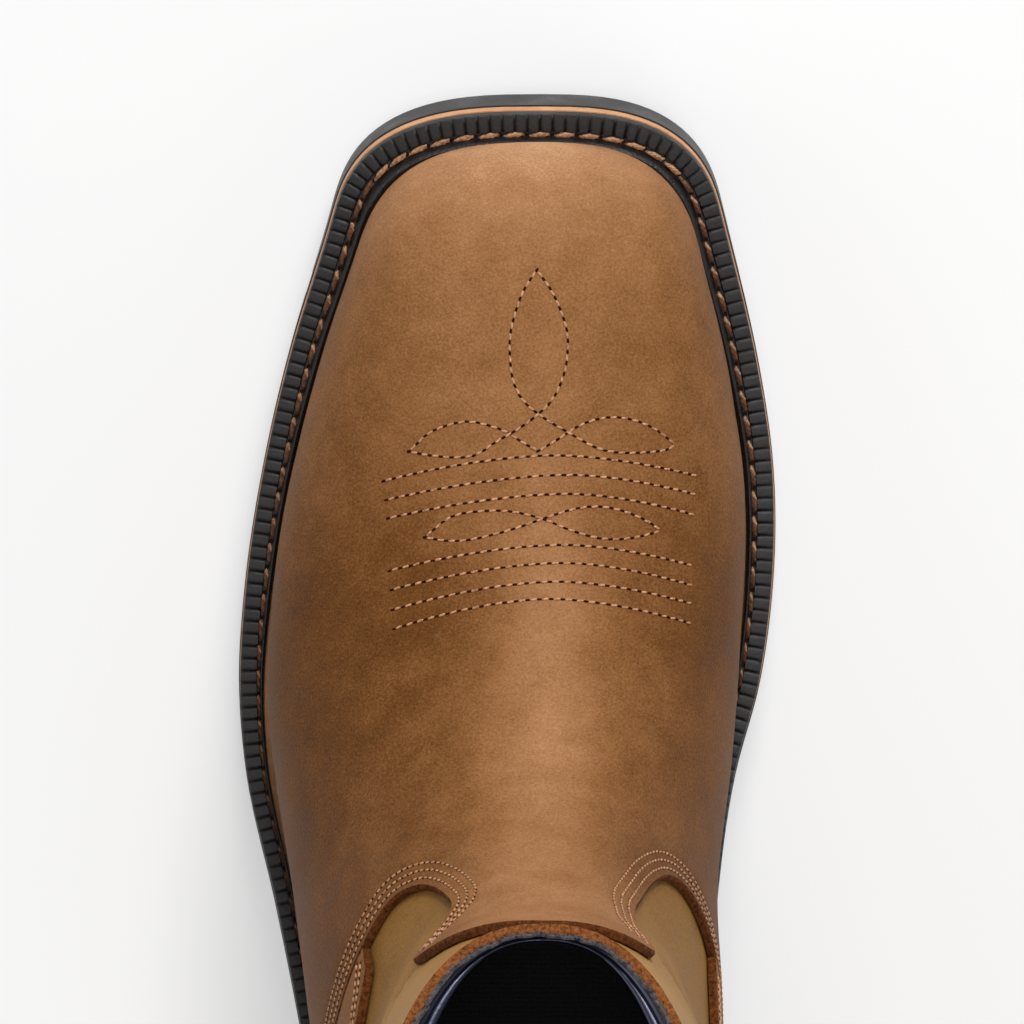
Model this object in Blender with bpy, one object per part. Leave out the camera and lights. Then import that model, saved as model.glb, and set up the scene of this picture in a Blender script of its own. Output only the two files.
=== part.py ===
# Left pull-on work boot with a broad square toe, as the pieces that a bootmaker puts together.
# Sizes are in millimetres until a piece is placed. "Along" runs from the toe tip to the heel,
# "across" is positive on the outer (lateral) side, and height is measured from the floor.

import functools
import math

import bmesh
import bpy
import numpy as np

MM = 0.001
GAP = 0.3
WELD = 0.02
SEAM_WELD = 0.05
SHARP_ANGLE = 40.0

# Seat line: the top of the midsole, on which welt, upper and insole stand
SEAT_TIP = 3.9
SOLE_END = 312.0
BALL_START = 85.0
BALL_END = 128.0
TOE_SPRING = 13.0
TOE_SPRING_POWER = 1.9
HEEL_RISE = 24.5
HEEL_SEAT_START = 265.0

# Thickness of the layers
MIDSOLE_THICK = 3.2
OUTSOLE_THICK = 9.7
LUG_DEPTH = 3.6
OUTSOLE_TOP = MIDSOLE_THICK + GAP
BALL_SEAT = OUTSOLE_TOP + OUTSOLE_THICK
WELT_THICK = 3.0
BEAD_HEIGHT = 5.4
MIDSOLE_INSET = 0.3
INSOLE_THICK = 3.5
INSOLE_CLEAR = 1.3
UPPER_WALL = 2.0
OVERLAY_THICK = 1.8
OVERLAY_STEP = GAP + OVERLAY_THICK

# Sole outline: half-widths from the boot's axis before its ends are rounded, the welt's margin, and
# how far the upper leans out over it at the height of the welt's bead
OUTLINE_COLUMNS = ("along", "lateral", "medial", "margin", "lean")
SOLE_OUTLINE = (
    (3.9, 39.7, 34.4, 7.6, 0.9),
    (31.0, 47.5, 41.8, 8.5, 0.9),
    (58.0, 56.0, 48.4, 8.1, 0.9),
    (84.0, 62.0, 52.2, 7.4, 0.9),
    (111.0, 66.0, 51.9, 7.2, 1.1),
    (131.0, 67.1, 49.1, 7.0, 1.4),
    (151.0, 65.4, 43.6, 6.8, 1.8),
    (178.0, 59.0, 39.5, 6.4, 2.2),
    (209.0, 52.6, 37.3, 6.3, 2.5),
    (240.0, 47.8, 36.5, 6.5, 2.8),
    (270.0, 44.0, 36.8, 6.6, 3.1),
    (312.0, 42.0, 38.0, 6.6, 3.1),
)
TOE_ROUND = 23.0
TOE_POWER = 2.9
HEEL_ROUND = 40.0
HEEL_POWER = 2.1

# Sections of the upper's outer face, from the toe over the instep and round the heel to the collar.
# Each lies in a plane through a point of the front line (top) and one of the sole or back line
# (base). "Rise" is the base's height over the seat, "widest" the share of the way from top to base
# at which the section is widest, "ridge" moves its top across, "power" gives its roundness, and
# "lift" raises its sides.
SECTION_COLUMNS = ("top_along", "top_height", "base_along", "rise", "lateral", "medial",
                   "widest", "ridge", "power", "lift")
SECTIONS = (
    (13.6, 53.0, 13.6, 0.0, 29.6, 27.8, 0.70, -1.0, 2.5, 0.0),
    (37.6, 60.0, 37.6, 0.0, 37.4, 33.6, 0.70, -1.0, 2.4, 0.0),
    (64.0, 66.0, 64.0, 0.0, 47.2, 39.8, 0.71, -1.5, 2.3, 0.0),
    (93.0, 73.0, 93.0, 0.0, 54.4, 43.0, 0.72, -1.5, 2.15, 0.0),
    (120.0, 86.0, 122.0, 0.0, 57.5, 42.0, 0.71, -1.5, 2.0, 0.0),
    (140.0, 101.0, 150.0, 0.0, 56.5, 40.0, 0.69, -1.0, 1.95, 0.0),
    (154.5, 115.0, 185.0, 0.0, 52.0, 36.6, 0.67, -0.5, 1.95, 0.0),
    (163.5, 128.0, 222.0, 0.0, 48.2, 37.3, 0.63, 0.0, 2.0, 0.0),
    (169.0, 140.0, 262.0, 0.0, 44.2, 37.6, 0.59, 0.0, 2.05, 0.0),
    (173.2, 152.0, 290.0, 0.0, 41.4, 38.4, 0.55, 0.0, 2.15, 0.0),
    (175.7, 162.0, 303.3, 0.0, 40.2, 38.7, 0.52, 0.0, 2.3, 0.0),
    (177.5, 175.0, 306.8, 26.0, 39.5, 38.3, 0.50, 0.0, 2.4, 0.0),
    (178.4, 192.0, 307.6, 62.0, 39.2, 38.2, 0.50, 0.0, 2.4, 0.0),
    (177.8, 213.0, 305.0, 112.0, 38.3, 37.5, 0.50, 0.0, 2.35, 1.0),
    (175.9, 235.0, 305.5, 167.0, 37.0, 36.2, 0.50, 0.0, 2.35, 5.0),
    (173.5, 256.0, 309.0, 224.0, 35.6, 34.8, 0.50, 0.0, 2.35, 13.0),
)
COLLAR_ROW = len(SECTIONS) - 1
# The back line starts at this row, the heel is rounded over the first distance low down and over the
# second one on the shaft, between these heights
BACK_ROW = 10
BACK_ROUND = (40.0, 66.0)
BACK_HEIGHTS = (70.0, 210.0)
TOE_BOX_ROUND = 27.0
SIDE_RISE = 26.0
TOE_BOX_POWER = 2.2
TOE_TIP_SHARE = 0.28

# Grid on which every leather piece is cut: rows of the sections above, and turns of the half girth,
# from 0 on the front line to 1 at the sole or the back line, positive on the lateral side
TOE_ROWS = 7
ROWS_PER_SECTION = 3
TURNS_PER_SIDE = 11
FOOT_TURN = 0.985
SCORE_SNAP = 0.004
SECTION_SAMPLES = 60

# Steps at which the face's slope is read. Offsets turn level from the first of the two turns to the
# second, where the foot of the section is wider than the last value.
SLOPE_STEP = 0.1
ROW_STEP = 0.03
TURN_STEP = 0.02
LEVEL_TURNS = (0.8, 0.95)
LEVEL_FOOT = 10.0
SEAM_FOOT = 0.5

# Edge of the vamp on each side, as rows and turns, from the middle of its tongue's top, down past the
# tongue's corner, through the dip and along the wing to the sole
VAMP_EDGE_LATERAL = (
    (11.7, 0.0),
    (11.25, 0.075),
    (10.35, 0.142),
    (9.5, 0.126),
    (8.65, 0.113),
    (8.1, 0.131),
    (7.65, 0.162),
    (7.4, 0.20),
    (7.36, 0.255),
    (7.6, 0.325),
    (7.85, 0.433),
    (7.98, 0.60),
    (7.95, 0.80),
    (7.65, 0.93),
    (7.4, 0.985),
)
VAMP_EDGE_MEDIAL = (
    (11.7, 0.0),
    (11.45, 0.065),
    (10.9, 0.12),
    (9.95, 0.112),
    (9.0, 0.119),
    (8.25, 0.135),
    (7.4, 0.185),
    (6.95, 0.235),
    (6.75, 0.29),
    (6.74, 0.37),
    (6.95, 0.50),
    (7.2, 0.64),
    (7.45, 0.82),
    (7.45, 0.93),
    (7.4, 0.985),
)
# Its lower edge, just over the sole, from the toe tip backwards
VAMP_FOOT = ((0.0, 0.84), (0.5, 0.95), (1.0, 0.975), (2.0, FOOT_TURN))

# Top edge of the counter on each side, from its start beside the vamp's wing to the back line, and
# the row of the vamp's edge at which that wing starts
COUNTER_EDGE_LATERAL = (
    (7.8, 0.318),
    (8.05, 0.314),
    (8.4, 0.335),
    (8.81, 0.37),
    (9.3, 0.41),
    (10.1, 0.45),
    (10.37, 0.5),
    (10.68, 0.57),
    (11.0, 0.64),
    (11.3, 0.71),
    (11.57, 0.78),
    (11.83, 0.85),
    (12.04, 0.92),
    (12.15, 1.0),
)
COUNTER_EDGE_MEDIAL = (
    (7.15, 0.492),
    (8.0, 0.475),
    (8.6, 0.485),
    (9.1, 0.5),
    (9.7, 0.508),
    (10.2, 0.521),
    (10.47, 0.56),
    (10.77, 0.61),
    (11.03, 0.66),
    (11.32, 0.72),
    (11.57, 0.78),
    (11.83, 0.85),
    (12.04, 0.92),
    (12.15, 1.0),
)
WING_START_LATERAL = 9
WING_START_MEDIAL = 10
COUNTER_CLEAR = 0.04
COUNTER_GAP = 0.75
# Its lower edge, just over the sole, from the back line to the wing
COUNTER_FOOT = ((10.34, 1.0), (10.2, 0.95), (9.75, 0.925), (9.1, 0.95), (8.4, 0.98))
EDGE_STEPS = 2


def smooth_rows(knots, rows, at):
    """Read a table's rows at any place between its knots, on a smooth curve through them."""
    knots = np.asarray(knots, float)
    rows = np.asarray(rows, float)
    slopes = np.gradient(rows, knots, axis=0)
    at = np.atleast_1d(np.asarray(at, float))
    first = np.clip(np.searchsorted(knots, at, side="right") - 1, 0, len(knots) - 2)
    step = (knots[first + 1] - knots[first])[:, None]
    t = (at[:, None] - knots[first][:, None]) / step
    return ((2 * t ** 3 - 3 * t ** 2 + 1) * rows[first] + (t ** 3 - 2 * t ** 2 + t) * step * slopes[first]
            + (3 * t ** 2 - 2 * t ** 3) * rows[first + 1] + (t ** 3 - t ** 2) * step * slopes[first + 1])


def seat(along):
    """Height of the seat line: flat under the ball, sprung at the toe, raised over the heel."""
    toe = np.clip((BALL_START - along) / (BALL_START - SEAT_TIP), 0.0, None)
    heel = np.clip((along - BALL_END) / (HEEL_SEAT_START - BALL_END), 0.0, 1.0)
    return BALL_SEAT + TOE_SPRING * toe ** TOE_SPRING_POWER + HEEL_RISE * heel ** 2 * (3 - 2 * heel)


def below_seat(along, depth):
    """Point at a depth square to the seat line, as along and height."""
    slope = (seat(along + SLOPE_STEP) - seat(along - SLOPE_STEP)) / (2 * SLOPE_STEP)
    square = 1.0 / np.sqrt(1.0 + slope ** 2)
    return along + depth * slope * square, seat(along) - depth * square


def rounded_ends(along, start, end):
    """Share of its width that an outline keeps towards its rounded toe and heel ends."""
    toe = np.clip((start + TOE_ROUND - along) / TOE_ROUND, 0.0, 1.0)
    heel = np.clip((along - end + HEEL_ROUND) / HEEL_ROUND, 0.0, 1.0)
    return ((1 - toe ** TOE_POWER) ** (1 / TOE_POWER)) * ((1 - heel ** HEEL_POWER) ** (1 / HEEL_POWER))


def outline_ends(welt_share, inset, lean_share=0.0):
    """Toe and heel ends of an outline set in from the sole's edge."""
    toe, heel = (dict(zip(OUTLINE_COLUMNS, SOLE_OUTLINE[row])) for row in (0, -1))
    start = SEAT_TIP + welt_share * toe["margin"] + inset - lean_share * toe["lean"]
    end = SOLE_END - welt_share * heel["margin"] - inset + lean_share * heel["lean"]
    return start, end


def straight_outline(along, welt_share=0.0, inset=0.0, lean_share=0.0):
    """Lateral and medial half-width of an outline before its ends are rounded."""
    knots = [row[0] for row in SOLE_OUTLINE]
    lateral, medial, margin, lean = smooth_rows(knots, [row[1:] for row in SOLE_OUTLINE], along).T
    taken = welt_share * margin + inset - lean_share * lean
    return lateral - taken, medial - taken


def outline(along, welt_share=0.0, inset=0.0, lean_share=0.0):
    """Lateral and medial half-width of an outline set in by a share of the welt and a distance."""
    lateral, medial = straight_outline(along, welt_share, inset, lean_share)
    start, end = outline_ends(welt_share, inset, lean_share)
    kept = rounded_ends(np.asarray(along, float), start, end)
    return lateral * kept, medial * kept


def stations(start, end, count=30, end_count=8):
    """Places along an outline, close together at its rounded ends."""
    turn = np.linspace(0.0, math.pi / 2, end_count)
    toe = start + TOE_ROUND * (1 - np.cos(turn))
    heel = end - HEEL_ROUND * (1 - np.cos(turn))
    middle = np.linspace(toe[-1], heel[-1], count)
    return np.concatenate([toe[:-1], middle, heel[-2::-1]])


AXIS_SCAN = np.arange(SEAT_TIP, SOLE_END, 0.5)
MID_ACROSS = (outline(AXIS_SCAN)[0].max() - outline(AXIS_SCAN)[1].max()) / 2
TOE_END = float(below_seat(SEAT_TIP, OUTSOLE_TOP + OUTSOLE_THICK)[0])
MID_ALONG = (TOE_END + SOLE_END) / 2


def place(across, along, height):
    """Point of the boot in metres, with the origin on the floor under its middle."""
    return ((across - MID_ACROSS) * MM, (along - MID_ALONG) * MM, height * MM)


def back_line():
    """Heights and places of the back line, from the sole up to the collar."""
    rows = np.linspace(BACK_ROW, COLLAR_ROW, 2000)
    table = smooth_rows(range(len(SECTIONS)), SECTIONS, rows)
    along, rise = (table[:, SECTION_COLUMNS.index(name)] for name in ("base_along", "rise"))
    return seat(along) + GAP + np.maximum(rise, 0.0), along


BACK_LINE = back_line()


def heel_kept(along, height):
    """Share of its width that the upper keeps towards its rounded back."""
    back = np.interp(height, *BACK_LINE)
    reach = np.interp(height, BACK_HEIGHTS, BACK_ROUND)
    heel = np.clip((along - back + reach) / reach, 0.0, 1.0)
    return (1 - heel ** HEEL_POWER) ** (1 / HEEL_POWER)


@functools.lru_cache(maxsize=None)
def half_section(row, side):
    """Points of one half of a section, with each point's share of the half girth."""
    level = 1 - math.cos(row * math.pi / 2) if row < 1 else row
    table = smooth_rows(range(len(SECTIONS)), SECTIONS, level)[0]
    part = dict(zip(SECTION_COLUMNS, (float(value) for value in table)))
    start, _ = outline_ends(1.0, OVERLAY_STEP)
    base_along, rise = part["base_along"], max(part["rise"], 0.0)
    base_height = seat(base_along) + GAP + rise
    toe = min(max((start + TOE_ROUND - base_along) / TOE_ROUND, 0.0), 1.0)
    kept = (1 - toe ** TOE_POWER) ** (1 / TOE_POWER)
    box = min(max((start + TOE_BOX_ROUND - base_along) / TOE_BOX_ROUND, 0.0), 1.0)
    box = TOE_TIP_SHARE + (1 - TOE_TIP_SHARE) * (1 - box ** TOE_BOX_POWER) ** (1 / TOE_BOX_POWER)
    top_height = base_height + (part["top_height"] - base_height) * box
    foot = straight_outline(base_along, 1.0, OVERLAY_STEP)[0 if side > 0 else 1][0] * kept
    wide = max(part["lateral" if side > 0 else "medial"] * kept, foot)
    foot += (wide - foot) * min(rise / SIDE_RISE, 1.0)
    ridge = side * part["ridge"] * kept

    turn = np.linspace(0.0, math.pi / 2, SECTION_SAMPLES)
    power = 2 / part["power"]
    upper_across = ridge + (wide - ridge) * np.sin(turn) ** power
    upper_share = part["widest"] * (1 - np.clip(np.cos(turn), 0.0, 1.0) ** power)
    fall = np.sin(turn[1:])
    lower_across = foot + (wide - foot) * (1 - fall ** 2)
    lower_share = part["widest"] + (1 - part["widest"]) * fall
    across = np.concatenate([upper_across, lower_across])
    share = np.concatenate([upper_share, lower_share])
    along = part["top_along"] + share * (base_along - part["top_along"])
    level = top_height + share * (base_height - top_height)
    across *= heel_kept(along, level)
    if row >= BACK_ROW:
        across[-1] = 0.0
    lift = part["lift"] * (across / max(wide, 1.0)) ** 2
    points = np.stack([side * across, along, level + lift], axis=1)
    steps = np.linalg.norm(np.diff(points, axis=0), axis=1)
    girth = np.concatenate([[0.0], np.cumsum(steps)])
    return points, girth / girth[-1], float(across[-1])


def skin(row, turn):
    """Point of the upper's outer face."""
    points, shares, _ = half_section(round(row, 6), 1 if turn >= 0 else -1)
    return np.array([np.interp(abs(turn), shares, points[:, axis]) for axis in range(3)])


def skin_offset(row, turn, offset):
    """Point at a distance outside the upper's outer face.

    The distance is level near the sole, and straight along the boot where both sides meet.
    """
    along = skin(min(row + ROW_STEP, COLLAR_ROW), turn) - skin(max(row - ROW_STEP, 0.0), turn)
    beside = max(row, ROW_STEP)
    round_it = skin(beside, min(turn + TURN_STEP, 1.0)) - skin(beside, max(turn - TURN_STEP, -1.0))
    foot = half_section(round(row, 6), 1 if turn >= 0 else -1)[2]
    if abs(turn) > 0.999 and foot < SEAM_FOOT:
        round_it = np.array([-1.0, 0.0, 0.0])
        along[0] = 0.0
    normal = np.cross(round_it, along)
    if row < 0.001:
        normal = np.array([0.0, -1.0, 0.0])
    level = np.interp(abs(turn), LEVEL_TURNS, (0.0, 1.0)) * min(foot / LEVEL_FOOT, 1.0)
    normal[2] *= 1 - level
    return skin(row, turn) + offset * normal / np.linalg.norm(normal)


ROW_LINES = [index / TOE_ROWS for index in range(TOE_ROWS)]
ROW_LINES += [1 + index / ROWS_PER_SECTION for index in range((COLLAR_ROW - 1) * ROWS_PER_SECTION + 1)]
TURN_LINES = [index / TURNS_PER_SIDE for index in range(-TURNS_PER_SIDE, TURNS_PER_SIDE + 1)]


def flat_pattern(corners):
    """Flat leather pattern in rows and turns, scored along the lines of the common grid."""
    pattern = bmesh.new()
    pattern.faces.new([pattern.verts.new((row, turn, 0.0)) for row, turn in corners])
    for place_co, plane_no, lines in (((1, 0, 0), (1, 0, 0), ROW_LINES), ((0, 1, 0), (0, 1, 0), TURN_LINES)):
        for line in lines:
            bmesh.ops.bisect_plane(
                pattern, geom=pattern.verts[:] + pattern.edges[:] + pattern.faces[:], dist=SCORE_SNAP,
                plane_co=[axis * line for axis in place_co], plane_no=plane_no)
    return pattern


def last_pattern(pattern, inner, outer):
    """Draw a flat pattern over the last, close its seams and give it a wall between two offsets."""
    row_of = pattern.verts.layers.float.new("row")
    turn_of = pattern.verts.layers.float.new("turn")
    for vert in pattern.verts:
        vert[row_of], vert[turn_of] = vert.co.x, vert.co.y
        vert.co = place(*skin_offset(vert.co.x, vert.co.y, inner))
    bmesh.ops.remove_doubles(pattern, verts=pattern.verts, dist=SEAM_WELD * MM)
    face_side = bmesh.ops.extrude_face_region(pattern, geom=pattern.faces[:], use_keep_orig=True)["geom"]
    for vert in face_side:
        if isinstance(vert, bmesh.types.BMVert):
            vert.co = place(*skin_offset(vert[row_of], vert[turn_of], outer))
    bmesh.ops.recalc_face_normals(pattern, faces=pattern.faces)


def edge_curve(table):
    """Smooth line of rows and turns through an edge's table."""
    at = np.linspace(0, len(table) - 1, (len(table) - 1) * EDGE_STEPS + 1)
    return [tuple(point) for point in smooth_rows(range(len(table)), table, at)]


def add_piece(name, mesh_source, colour, roughness):
    """Make a named object with its own material from a bmesh."""
    mesh = bpy.data.meshes.new(name)
    mesh_source.to_mesh(mesh)
    mesh_source.free()
    mesh.shade_smooth()
    mesh.set_sharp_from_angle(angle=math.radians(SHARP_ANGLE))
    piece = bpy.data.objects.new(name, mesh)
    bpy.context.scene.collection.objects.link(piece)
    material = bpy.data.materials.new(name)
    material.use_nodes = True
    shader = material.node_tree.nodes["Principled BSDF"]
    shader.inputs["Base Color"].default_value = (*colour, 1.0)
    shader.inputs["Roughness"].default_value = roughness
    mesh.materials.append(material)
    return piece


def flat_layer(places, shares):
    """Flat layer of the sole in stations and shares of its width, from level 0 down to level 1."""
    layer = bmesh.new()
    bmesh.ops.create_grid(layer, x_segments=len(places) - 1, y_segments=len(shares) - 1, size=1)
    for vert in layer.verts:
        station = round((vert.co.x + 1) / 2 * (len(places) - 1))
        share = round((vert.co.y + 1) / 2 * (len(shares) - 1))
        vert.co = (places[station], shares[share], 0.0)
    bottom = bmesh.ops.extrude_face_region(layer, geom=layer.faces[:], use_keep_orig=True)["geom"]
    move_to_level(bottom, 1.0)
    return layer, [face for face in bottom if isinstance(face, bmesh.types.BMFace)]


def move_to_level(geometry, level):
    for item in geometry:
        if isinstance(item, bmesh.types.BMVert):
            item.co.z = level


def raise_lugs(layer, bottom_faces, bars, whole_bar):
    """Extrude the bottom's faces that lie in a bar to level 2; channels part all but the whole bar."""
    lugs = []
    for face in bottom_faces:
        middle = face.calc_center_median()
        for bar in bars:
            in_channel = bar != whole_bar and any(low < middle.y < high for low, high in CHANNELS)
            if bar[0] < middle.x < bar[1] and not in_channel:
                lugs.append(face)
    move_to_level(bmesh.ops.extrude_face_region(layer, geom=lugs)["geom"], 2.0)
    bmesh.ops.delete(layer, geom=lugs, context="FACES_ONLY")


def with_edges(places, edges, clear=1.2):
    """Stations with a bar's edges added, and those that lie too near an edge left out."""
    kept = [place_at for place_at in places[1:-1] if min(abs(place_at - edge) for edge in edges) > clear]
    return sorted([places[0], places[-1], *kept, *edges])


def press_layer(layer, welt_share, inset, place_level):
    """Move a flat layer to its place: place_level gives along and height for a station and level."""
    for vert in layer.verts:
        along, share, level = vert.co
        lateral, medial = (float(half[0]) for half in outline(along, welt_share, inset))
        across = lateral * share if share > 0 else medial * share
        vert.co = place(across, *place_level(along, level))
    bmesh.ops.remove_doubles(layer, verts=layer.verts, dist=WELD * MM)
    bmesh.ops.recalc_face_normals(layer, faces=layer.faces)


# Bars of the tread: their length and spacing along the sole, and the channels that part them into
# lugs, as shares of the half-width. The bars at the toe's and the heel's end are whole.
BAR_LENGTH = 9.5
BAR_PITCH = 14.0
CHANNELS = ((-0.38, -0.28), (0.28, 0.38))
TREAD_SHARES = (-1.0, -0.38, -0.28, 0.28, 0.38, 1.0)
TOE_BAR = 37.5
FOREFOOT_BARS = [(SEAT_TIP, SEAT_TIP + TOE_BAR)]
FOREFOOT_BARS += [(SEAT_TIP + BAR_PITCH * index, SEAT_TIP + BAR_PITCH * index + BAR_LENGTH)
                  for index in range(3, 10)]
HEEL_BREAST = 240.0
HEEL_INSET = 0.6
HEEL_LUG = 4.0
HEEL_BARS = [(HEEL_BREAST + BAR_PITCH * index, HEEL_BREAST + BAR_PITCH * index + BAR_LENGTH)
             for index in range(4)]
HEEL_BARS.append((HEEL_BREAST + BAR_PITCH * 4, SOLE_END))


def build_outsole():
    edges = [edge for bar in FOREFOOT_BARS for edge in bar][1:]
    layer, bottom = flat_layer(with_edges(stations(SEAT_TIP, SOLE_END, 24), edges), TREAD_SHARES)
    raise_lugs(layer, bottom, FOREFOOT_BARS, FOREFOOT_BARS[0])
    depths = (OUTSOLE_TOP, OUTSOLE_TOP + OUTSOLE_THICK - LUG_DEPTH, OUTSOLE_TOP + OUTSOLE_THICK)
    press_layer(layer, 0.0, 0.0, lambda along, level: below_seat(along, depths[round(level)]))
    return add_piece("outsole", layer, (0.022, 0.021, 0.020), 0.6)


def build_heel():
    end = SOLE_END - HEEL_INSET
    places = [at for at in stations(SEAT_TIP, end, 24) if at > HEEL_BREAST + 2]
    edges = [edge for bar in HEEL_BARS for edge in bar][1:-1]
    layer, bottom = flat_layer(with_edges([HEEL_BREAST, *places], edges), TREAD_SHARES)
    raise_lugs(layer, bottom, HEEL_BARS, HEEL_BARS[-1])
    top_depth = OUTSOLE_TOP + OUTSOLE_THICK - LUG_DEPTH + GAP

    def heel_level(along, level):
        under, top = below_seat(along, top_depth)
        return under, (top, HEEL_LUG, 0.0)[round(level)]

    press_layer(layer, 0.0, HEEL_INSET, heel_level)
    return add_piece("heel", layer, (0.022, 0.021, 0.020), 0.6)


def build_midsole():
    layer, _ = flat_layer(stations(*outline_ends(0.0, MIDSOLE_INSET)), (-1.0, 1.0))
    press_layer(layer, 0.0, MIDSOLE_INSET, lambda along, level: below_seat(along, level * MIDSOLE_THICK))
    return add_piece("midsole", layer, (0.62, 0.31, 0.12), 0.6)


def build_insole():
    inset = OVERLAY_STEP + UPPER_WALL + INSOLE_CLEAR
    layer, _ = flat_layer(stations(*outline_ends(1.0, inset)), (-1.0, 1.0))
    top = GAP + INSOLE_THICK
    press_layer(layer, 1.0, inset, lambda along, level: below_seat(along, level * INSOLE_THICK - top))
    return add_piece("insole", layer, (0.05, 0.045, 0.04), 0.9)


# Cross-section of the welt: shares of its margin and of the upper's lean, distance further in, and
# height over the seat
WELT_COLUMNS = ("margin_share", "lean_share", "inset", "height")
WELT_PROFILE = (
    (0.0, 0.0, 0.5, GAP),
    (0.0, 0.0, 0.5, GAP + WELT_THICK),
    (1.0, 1.0, -2.8, GAP + WELT_THICK),
    (1.0, 1.0, -2.2, GAP + BEAD_HEIGHT),
    (1.0, 1.0, -0.8, GAP + BEAD_HEIGHT),
    (1.0, 0.0, -0.45, GAP),
    (0.0, 0.0, 0.5, GAP),
)


def build_welt():
    count = len(stations(SEAT_TIP, SOLE_END))
    ring = bmesh.new()
    bmesh.ops.create_grid(ring, x_segments=2 * count - 2, y_segments=len(WELT_PROFILE) - 1, size=1)
    for vert in ring.verts:
        station = round((vert.co.x + 1) * (count - 1))
        corner = dict(zip(WELT_COLUMNS, WELT_PROFILE[round((vert.co.y + 1) / 2 * (len(WELT_PROFILE) - 1))]))
        set_in = (corner["margin_share"], corner["inset"], corner["lean_share"])
        medial = station >= count
        along = stations(*outline_ends(*set_in))[2 * count - 2 - station if medial else station]
        halves = outline(along, *set_in)
        across = -float(halves[1][0]) if medial else float(halves[0][0])
        vert.co = place(across, *below_seat(along, -corner["height"]))
    bmesh.ops.remove_doubles(ring, verts=ring.verts, dist=WELD * MM)
    bmesh.ops.recalc_face_normals(ring, faces=ring.faces)
    return add_piece("welt", ring, (0.022, 0.021, 0.020), 0.45)


def build_upper():
    pattern = flat_pattern([(0.0, -1.0), (0.0, 1.0), (COLLAR_ROW, 1.0), (COLLAR_ROW, -1.0)])
    last_pattern(pattern, -UPPER_WALL, 0.0)
    return add_piece("upper", pattern, (0.33, 0.20, 0.075), 0.6)


def build_vamp():
    lateral = edge_curve(VAMP_EDGE_LATERAL)
    medial = edge_curve(VAMP_EDGE_MEDIAL)
    corners = [*VAMP_FOOT, *reversed(lateral)]
    corners += [(row, -turn) for row, turn in [*medial[1:], *reversed(VAMP_FOOT)]]
    pattern = flat_pattern(corners)
    last_pattern(pattern, GAP, OVERLAY_STEP)
    return add_piece("vamp", pattern, (0.38, 0.20, 0.08), 0.6)


def counter_half(vamp_edge, wing_start, counter_edge, side):
    """Flat pattern of one half of the counter, from the vamp's wing to the back line."""
    wing = [(row + COUNTER_CLEAR, turn) for row, turn in edge_curve(vamp_edge[wing_start:])]
    corners = [*reversed(wing), *edge_curve(counter_edge), *COUNTER_FOOT]
    return flat_pattern([(row, side * turn) for row, turn in corners])


def build_counter():
    pattern = counter_half(VAMP_EDGE_LATERAL, WING_START_LATERAL, COUNTER_EDGE_LATERAL, 1)
    medial = counter_half(VAMP_EDGE_MEDIAL, WING_START_MEDIAL, COUNTER_EDGE_MEDIAL, -1)
    medial_mesh = bpy.data.meshes.new("counter_medial")
    medial.to_mesh(medial_mesh)
    medial.free()
    pattern.from_mesh(medial_mesh)
    bpy.data.meshes.remove(medial_mesh)
    last_pattern(pattern, COUNTER_GAP, OVERLAY_STEP)
    return add_piece("counter", pattern, (0.36, 0.20, 0.08), 0.6)


for old in list(bpy.data.objects):
    bpy.data.objects.remove(old, do_unlink=True)
build_outsole()
build_heel()
build_midsole()
build_welt()
build_insole()
build_upper()
build_vamp()
build_counter()
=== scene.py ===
import math

import bmesh
import bpy
import numpy as np
from mathutils import Matrix, Vector
from mathutils.bvhtree import BVHTree
from mathutils.kdtree import KDTree


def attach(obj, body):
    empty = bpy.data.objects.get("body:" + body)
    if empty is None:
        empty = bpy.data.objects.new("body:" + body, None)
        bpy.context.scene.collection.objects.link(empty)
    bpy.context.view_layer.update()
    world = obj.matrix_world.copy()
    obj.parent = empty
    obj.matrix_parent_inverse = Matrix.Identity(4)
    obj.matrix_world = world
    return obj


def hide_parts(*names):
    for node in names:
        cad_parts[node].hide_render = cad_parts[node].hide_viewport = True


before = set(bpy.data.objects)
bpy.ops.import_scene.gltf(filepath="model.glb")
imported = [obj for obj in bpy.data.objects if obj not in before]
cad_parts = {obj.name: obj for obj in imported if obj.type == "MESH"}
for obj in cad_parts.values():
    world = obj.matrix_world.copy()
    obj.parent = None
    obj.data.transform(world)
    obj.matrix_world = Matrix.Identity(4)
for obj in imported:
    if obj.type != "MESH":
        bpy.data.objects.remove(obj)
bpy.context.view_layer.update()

# Outsole: one moulded piece of black rubber under the whole boot, glued and sewn to the midsole.
# Cross bars parted by two channels make its tread, and they show as teeth along its edge.
# Lengths are in millimetres: along the boot from the toe, across it, and over the floor.
MM = 0.001
GAP = 0.3
SEAT_TIP = 3.9
SOLE_END = 312.0
BALL_START = 85.0
BALL_END = 128.0
TOE_SPRING = 13.0
TOE_SPRING_POWER = 1.9
HEEL_RISE = 24.5
HEEL_SEAT_START = 265.0
MIDSOLE_THICK = 3.2
OUTSOLE_THICK = 9.7
LUG_DEPTH = 3.6
OUTSOLE_TOP = MIDSOLE_THICK + GAP
BALL_SEAT = OUTSOLE_TOP + OUTSOLE_THICK
SOLE_COLUMNS = ("along", "lateral", "medial", "margin", "lean")
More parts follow.
